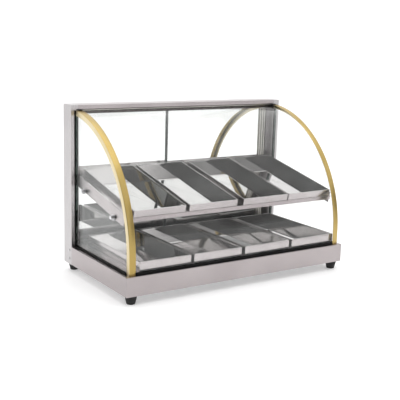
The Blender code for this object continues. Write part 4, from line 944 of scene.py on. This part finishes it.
def makeGland():
    low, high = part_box("cable_gland")
    middle = (low + high) / 2
    seat = low.y + gland["neck"]
    neck = startRod("cordGland", (middle.x, low.y, middle.z), (0, 1, 0), gland["neckRadius"],
                    gland["neck"] + 0.0002, 48)
    collar = startRod("glandCollar", (middle.x, seat, middle.z), (0, 1, 0), gland["collarRadius"],
                      gland["collar"], 6)
    roundOff(collar, 0.0006, 3)
    capStart = seat + gland["collar"] - 0.0001
    cap = startRod("glandCap", (middle.x, capStart, middle.z), (0, 1, 0), gland["capRadius"],
                   high.y - capStart, 2 * gland["ribs"])
    openEdit(cap)
    pickFaces(cap, lambda centre, normal: normal.y > 0.9)
    bpy.ops.mesh.inset(thickness=gland["capRadius"] - gland["mouthRadius"])
    bpy.ops.mesh.inset(thickness=gland["mouthRadius"] - gland["boreRadius"])
    extrude((0, -(high.y - capStart) * 0.9, 0))
    closeEdit()
    roundOff(cap, 0.0012, 4, 50)
    joinPieces(neck, collar, cap)
    smoothShade(neck, 35)
    settle(neck, "case", "black_plastic", mouldedBlack, "cable_gland")


def makeLamp():
    low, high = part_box("pilot_lamp_body")
    middle = (low + high) / 2
    seat = high.y - lamp["flange"]
    bezel = startRod("lampBezel", (middle.x, seat, middle.z), (0, 1, 0), lamp["flangeRadius"],
                     lamp["flange"], 48)
    openEdit(bezel)
    pickFaces(bezel, lambda centre, normal: normal.y > 0.9)
    bpy.ops.mesh.inset(thickness=lamp["flangeRadius"] - lamp["lensRadius"] - 0.0003)
    extrude((0, -lamp["flange"] * 0.9, 0))
    closeEdit()
    roundOff(bezel, 0.0004, 3)
    barrel = startRod("lampBarrel", (middle.x, low.y, middle.z), (0, 1, 0), lamp["bodyRadius"],
                      seat - low.y + 0.0001, 32)
    roundOff(barrel, 0.0004)
    joinPieces(bezel, barrel)
    smoothShade(bezel, 35)
    settle(bezel, "case", "chrome", chromePlate, "pilot_lamp_body")
    low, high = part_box("pilot_lamp_lens")
    lens = startRod("lampLens", (middle.x, low.y, middle.z), (0, 1, 0), lamp["lensRadius"], high.y - low.y, 40)
    roundOff(lens, lamp["lensRadius"] * 0.7, 8, 60)
    smoothShade(lens, 40)
    settle(lens, "case", "amber_lens", slotFinish["amber_lens"], "pilot_lamp_lens")


makeGland()
makeLamp()
print("gland and lamp fitted")


# round pieces inside the base: copies of the frame's own, merged and smoothed
insideRounds = {
    "heater_element": ("sheathedHeater", "case", "heater_sheath"),
    "thermostat_bulb": ("sensingBulb", "case", "copper"),
    "wiring": ("wireHarness", "case", "wire_insulation"),
    "thermostat_shaft": ("knobShaft", "thermostat_knob", "chrome"),
}


def smoothTwin(node, name, body, slot):
    twin = copyPiece(nodes[node], name)
    twin.parent = None
    del twin["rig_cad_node"]
    openEdit(twin)
    bpy.ops.mesh.select_all(action="SELECT")
    bpy.ops.mesh.remove_doubles(threshold=mergeDistance)
    bpy.ops.mesh.customdata_custom_splitnormals_clear()
    closeEdit()
    smoothShade(twin, 50)
    settle(twin, body, slot, slotFinish[slot], node)


for node, (name, body, slot) in insideRounds.items():
    smoothTwin(node, name, body, slot)
print("inside pieces smoothed")


# white studio: pale floor, bright behind the case, darker behind the camera
studio = {"floorSize": 40.0, "bright": 1.22, "floorGlow": 0.30}
darkZones = {    # where the room behind the camera is unlit: direction, level, edge of the zone
    "left": {"towards": (-0.62, -0.76, 0.20), "level": 0.10, "from": 0.55, "to": 0.75},
    "right": {"towards": (0.682, -0.706, 0.191), "level": 0.34, "from": 0.962, "to": 0.978},
}
softboxes = {
    "top": {"place": (0.2, 0.1, 2.4), "size": 2.2, "watts": 12},
    "left": {"place": (-2.4, -0.9, 1.5), "size": 1.4, "watts": 8},
}


def makeFloor():
    clearSelection()
    bpy.ops.mesh.primitive_plane_add(size=studio["floorSize"])
    floor = bpy.context.active_object
    floor.name = "studioFloor"
    material, tree, shader = startMaterial("studioFloor", (0.86, 0.86, 0.86), 0.6)
    shader.inputs["Emission Color"].default_value = (1, 1, 1, 1)
    shader.inputs["Emission Strength"].default_value = studio["floorGlow"]
    cloud = grain(tree, (1, 1, 1), 2)
    tree.links.new(between(tree, cloud, 0.55, 0.65), shader.inputs["Roughness"])
    floor.data.materials.append(material)


def makeSurroundings():
    world = bpy.data.worlds.new("studioWorld")
    bpy.context.scene.world = world
    world.use_nodes = True
    tree = world.node_tree
    background = tree.nodes["Background"]
    place = tree.nodes.new("ShaderNodeTexCoord")
    level = None
    for zone in darkZones.values():
        towards = tree.nodes.new("ShaderNodeVectorMath")
        towards.operation = "DOT_PRODUCT"
        towards.inputs[1].default_value = Vector(zone["towards"]).normalized()
        tree.links.new(place.outputs["Generated"], towards.inputs[0])
        share = between(tree, towards.outputs["Value"], studio["bright"], zone["level"], zone["from"],
                        zone["to"])
        level = share if level is None else calculate(tree, "MINIMUM", level, share)
    seen = tree.nodes.new("ShaderNodeLightPath")    # the backdrop itself stays white from every side
    backdrop = calculate(tree, "MULTIPLY", seen.outputs["Is Camera Ray"], studio["bright"])
    tree.links.new(calculate(tree, "MAXIMUM", level, backdrop), background.inputs["Strength"])
    background.inputs["Color"].default_value = (1, 1, 1, 1)


def makeSoftboxes():
    for name, box in softboxes.items():
        bpy.ops.object.light_add(type="AREA", location=box["place"])
        light = bpy.context.active_object
        light.name = f"softbox_{name}"
        light.data.energy = box["watts"]
        light.data.size = box["size"]
        aim = Vector((0, 0, 0.2)) - Vector(box["place"])
        light.rotation_euler = aim.to_track_quat("-Z", "Y").to_euler()


makeFloor()
makeSurroundings()
makeSoftboxes()
bpy.context.scene.view_settings.view_transform = "Standard"
print("studio lit")
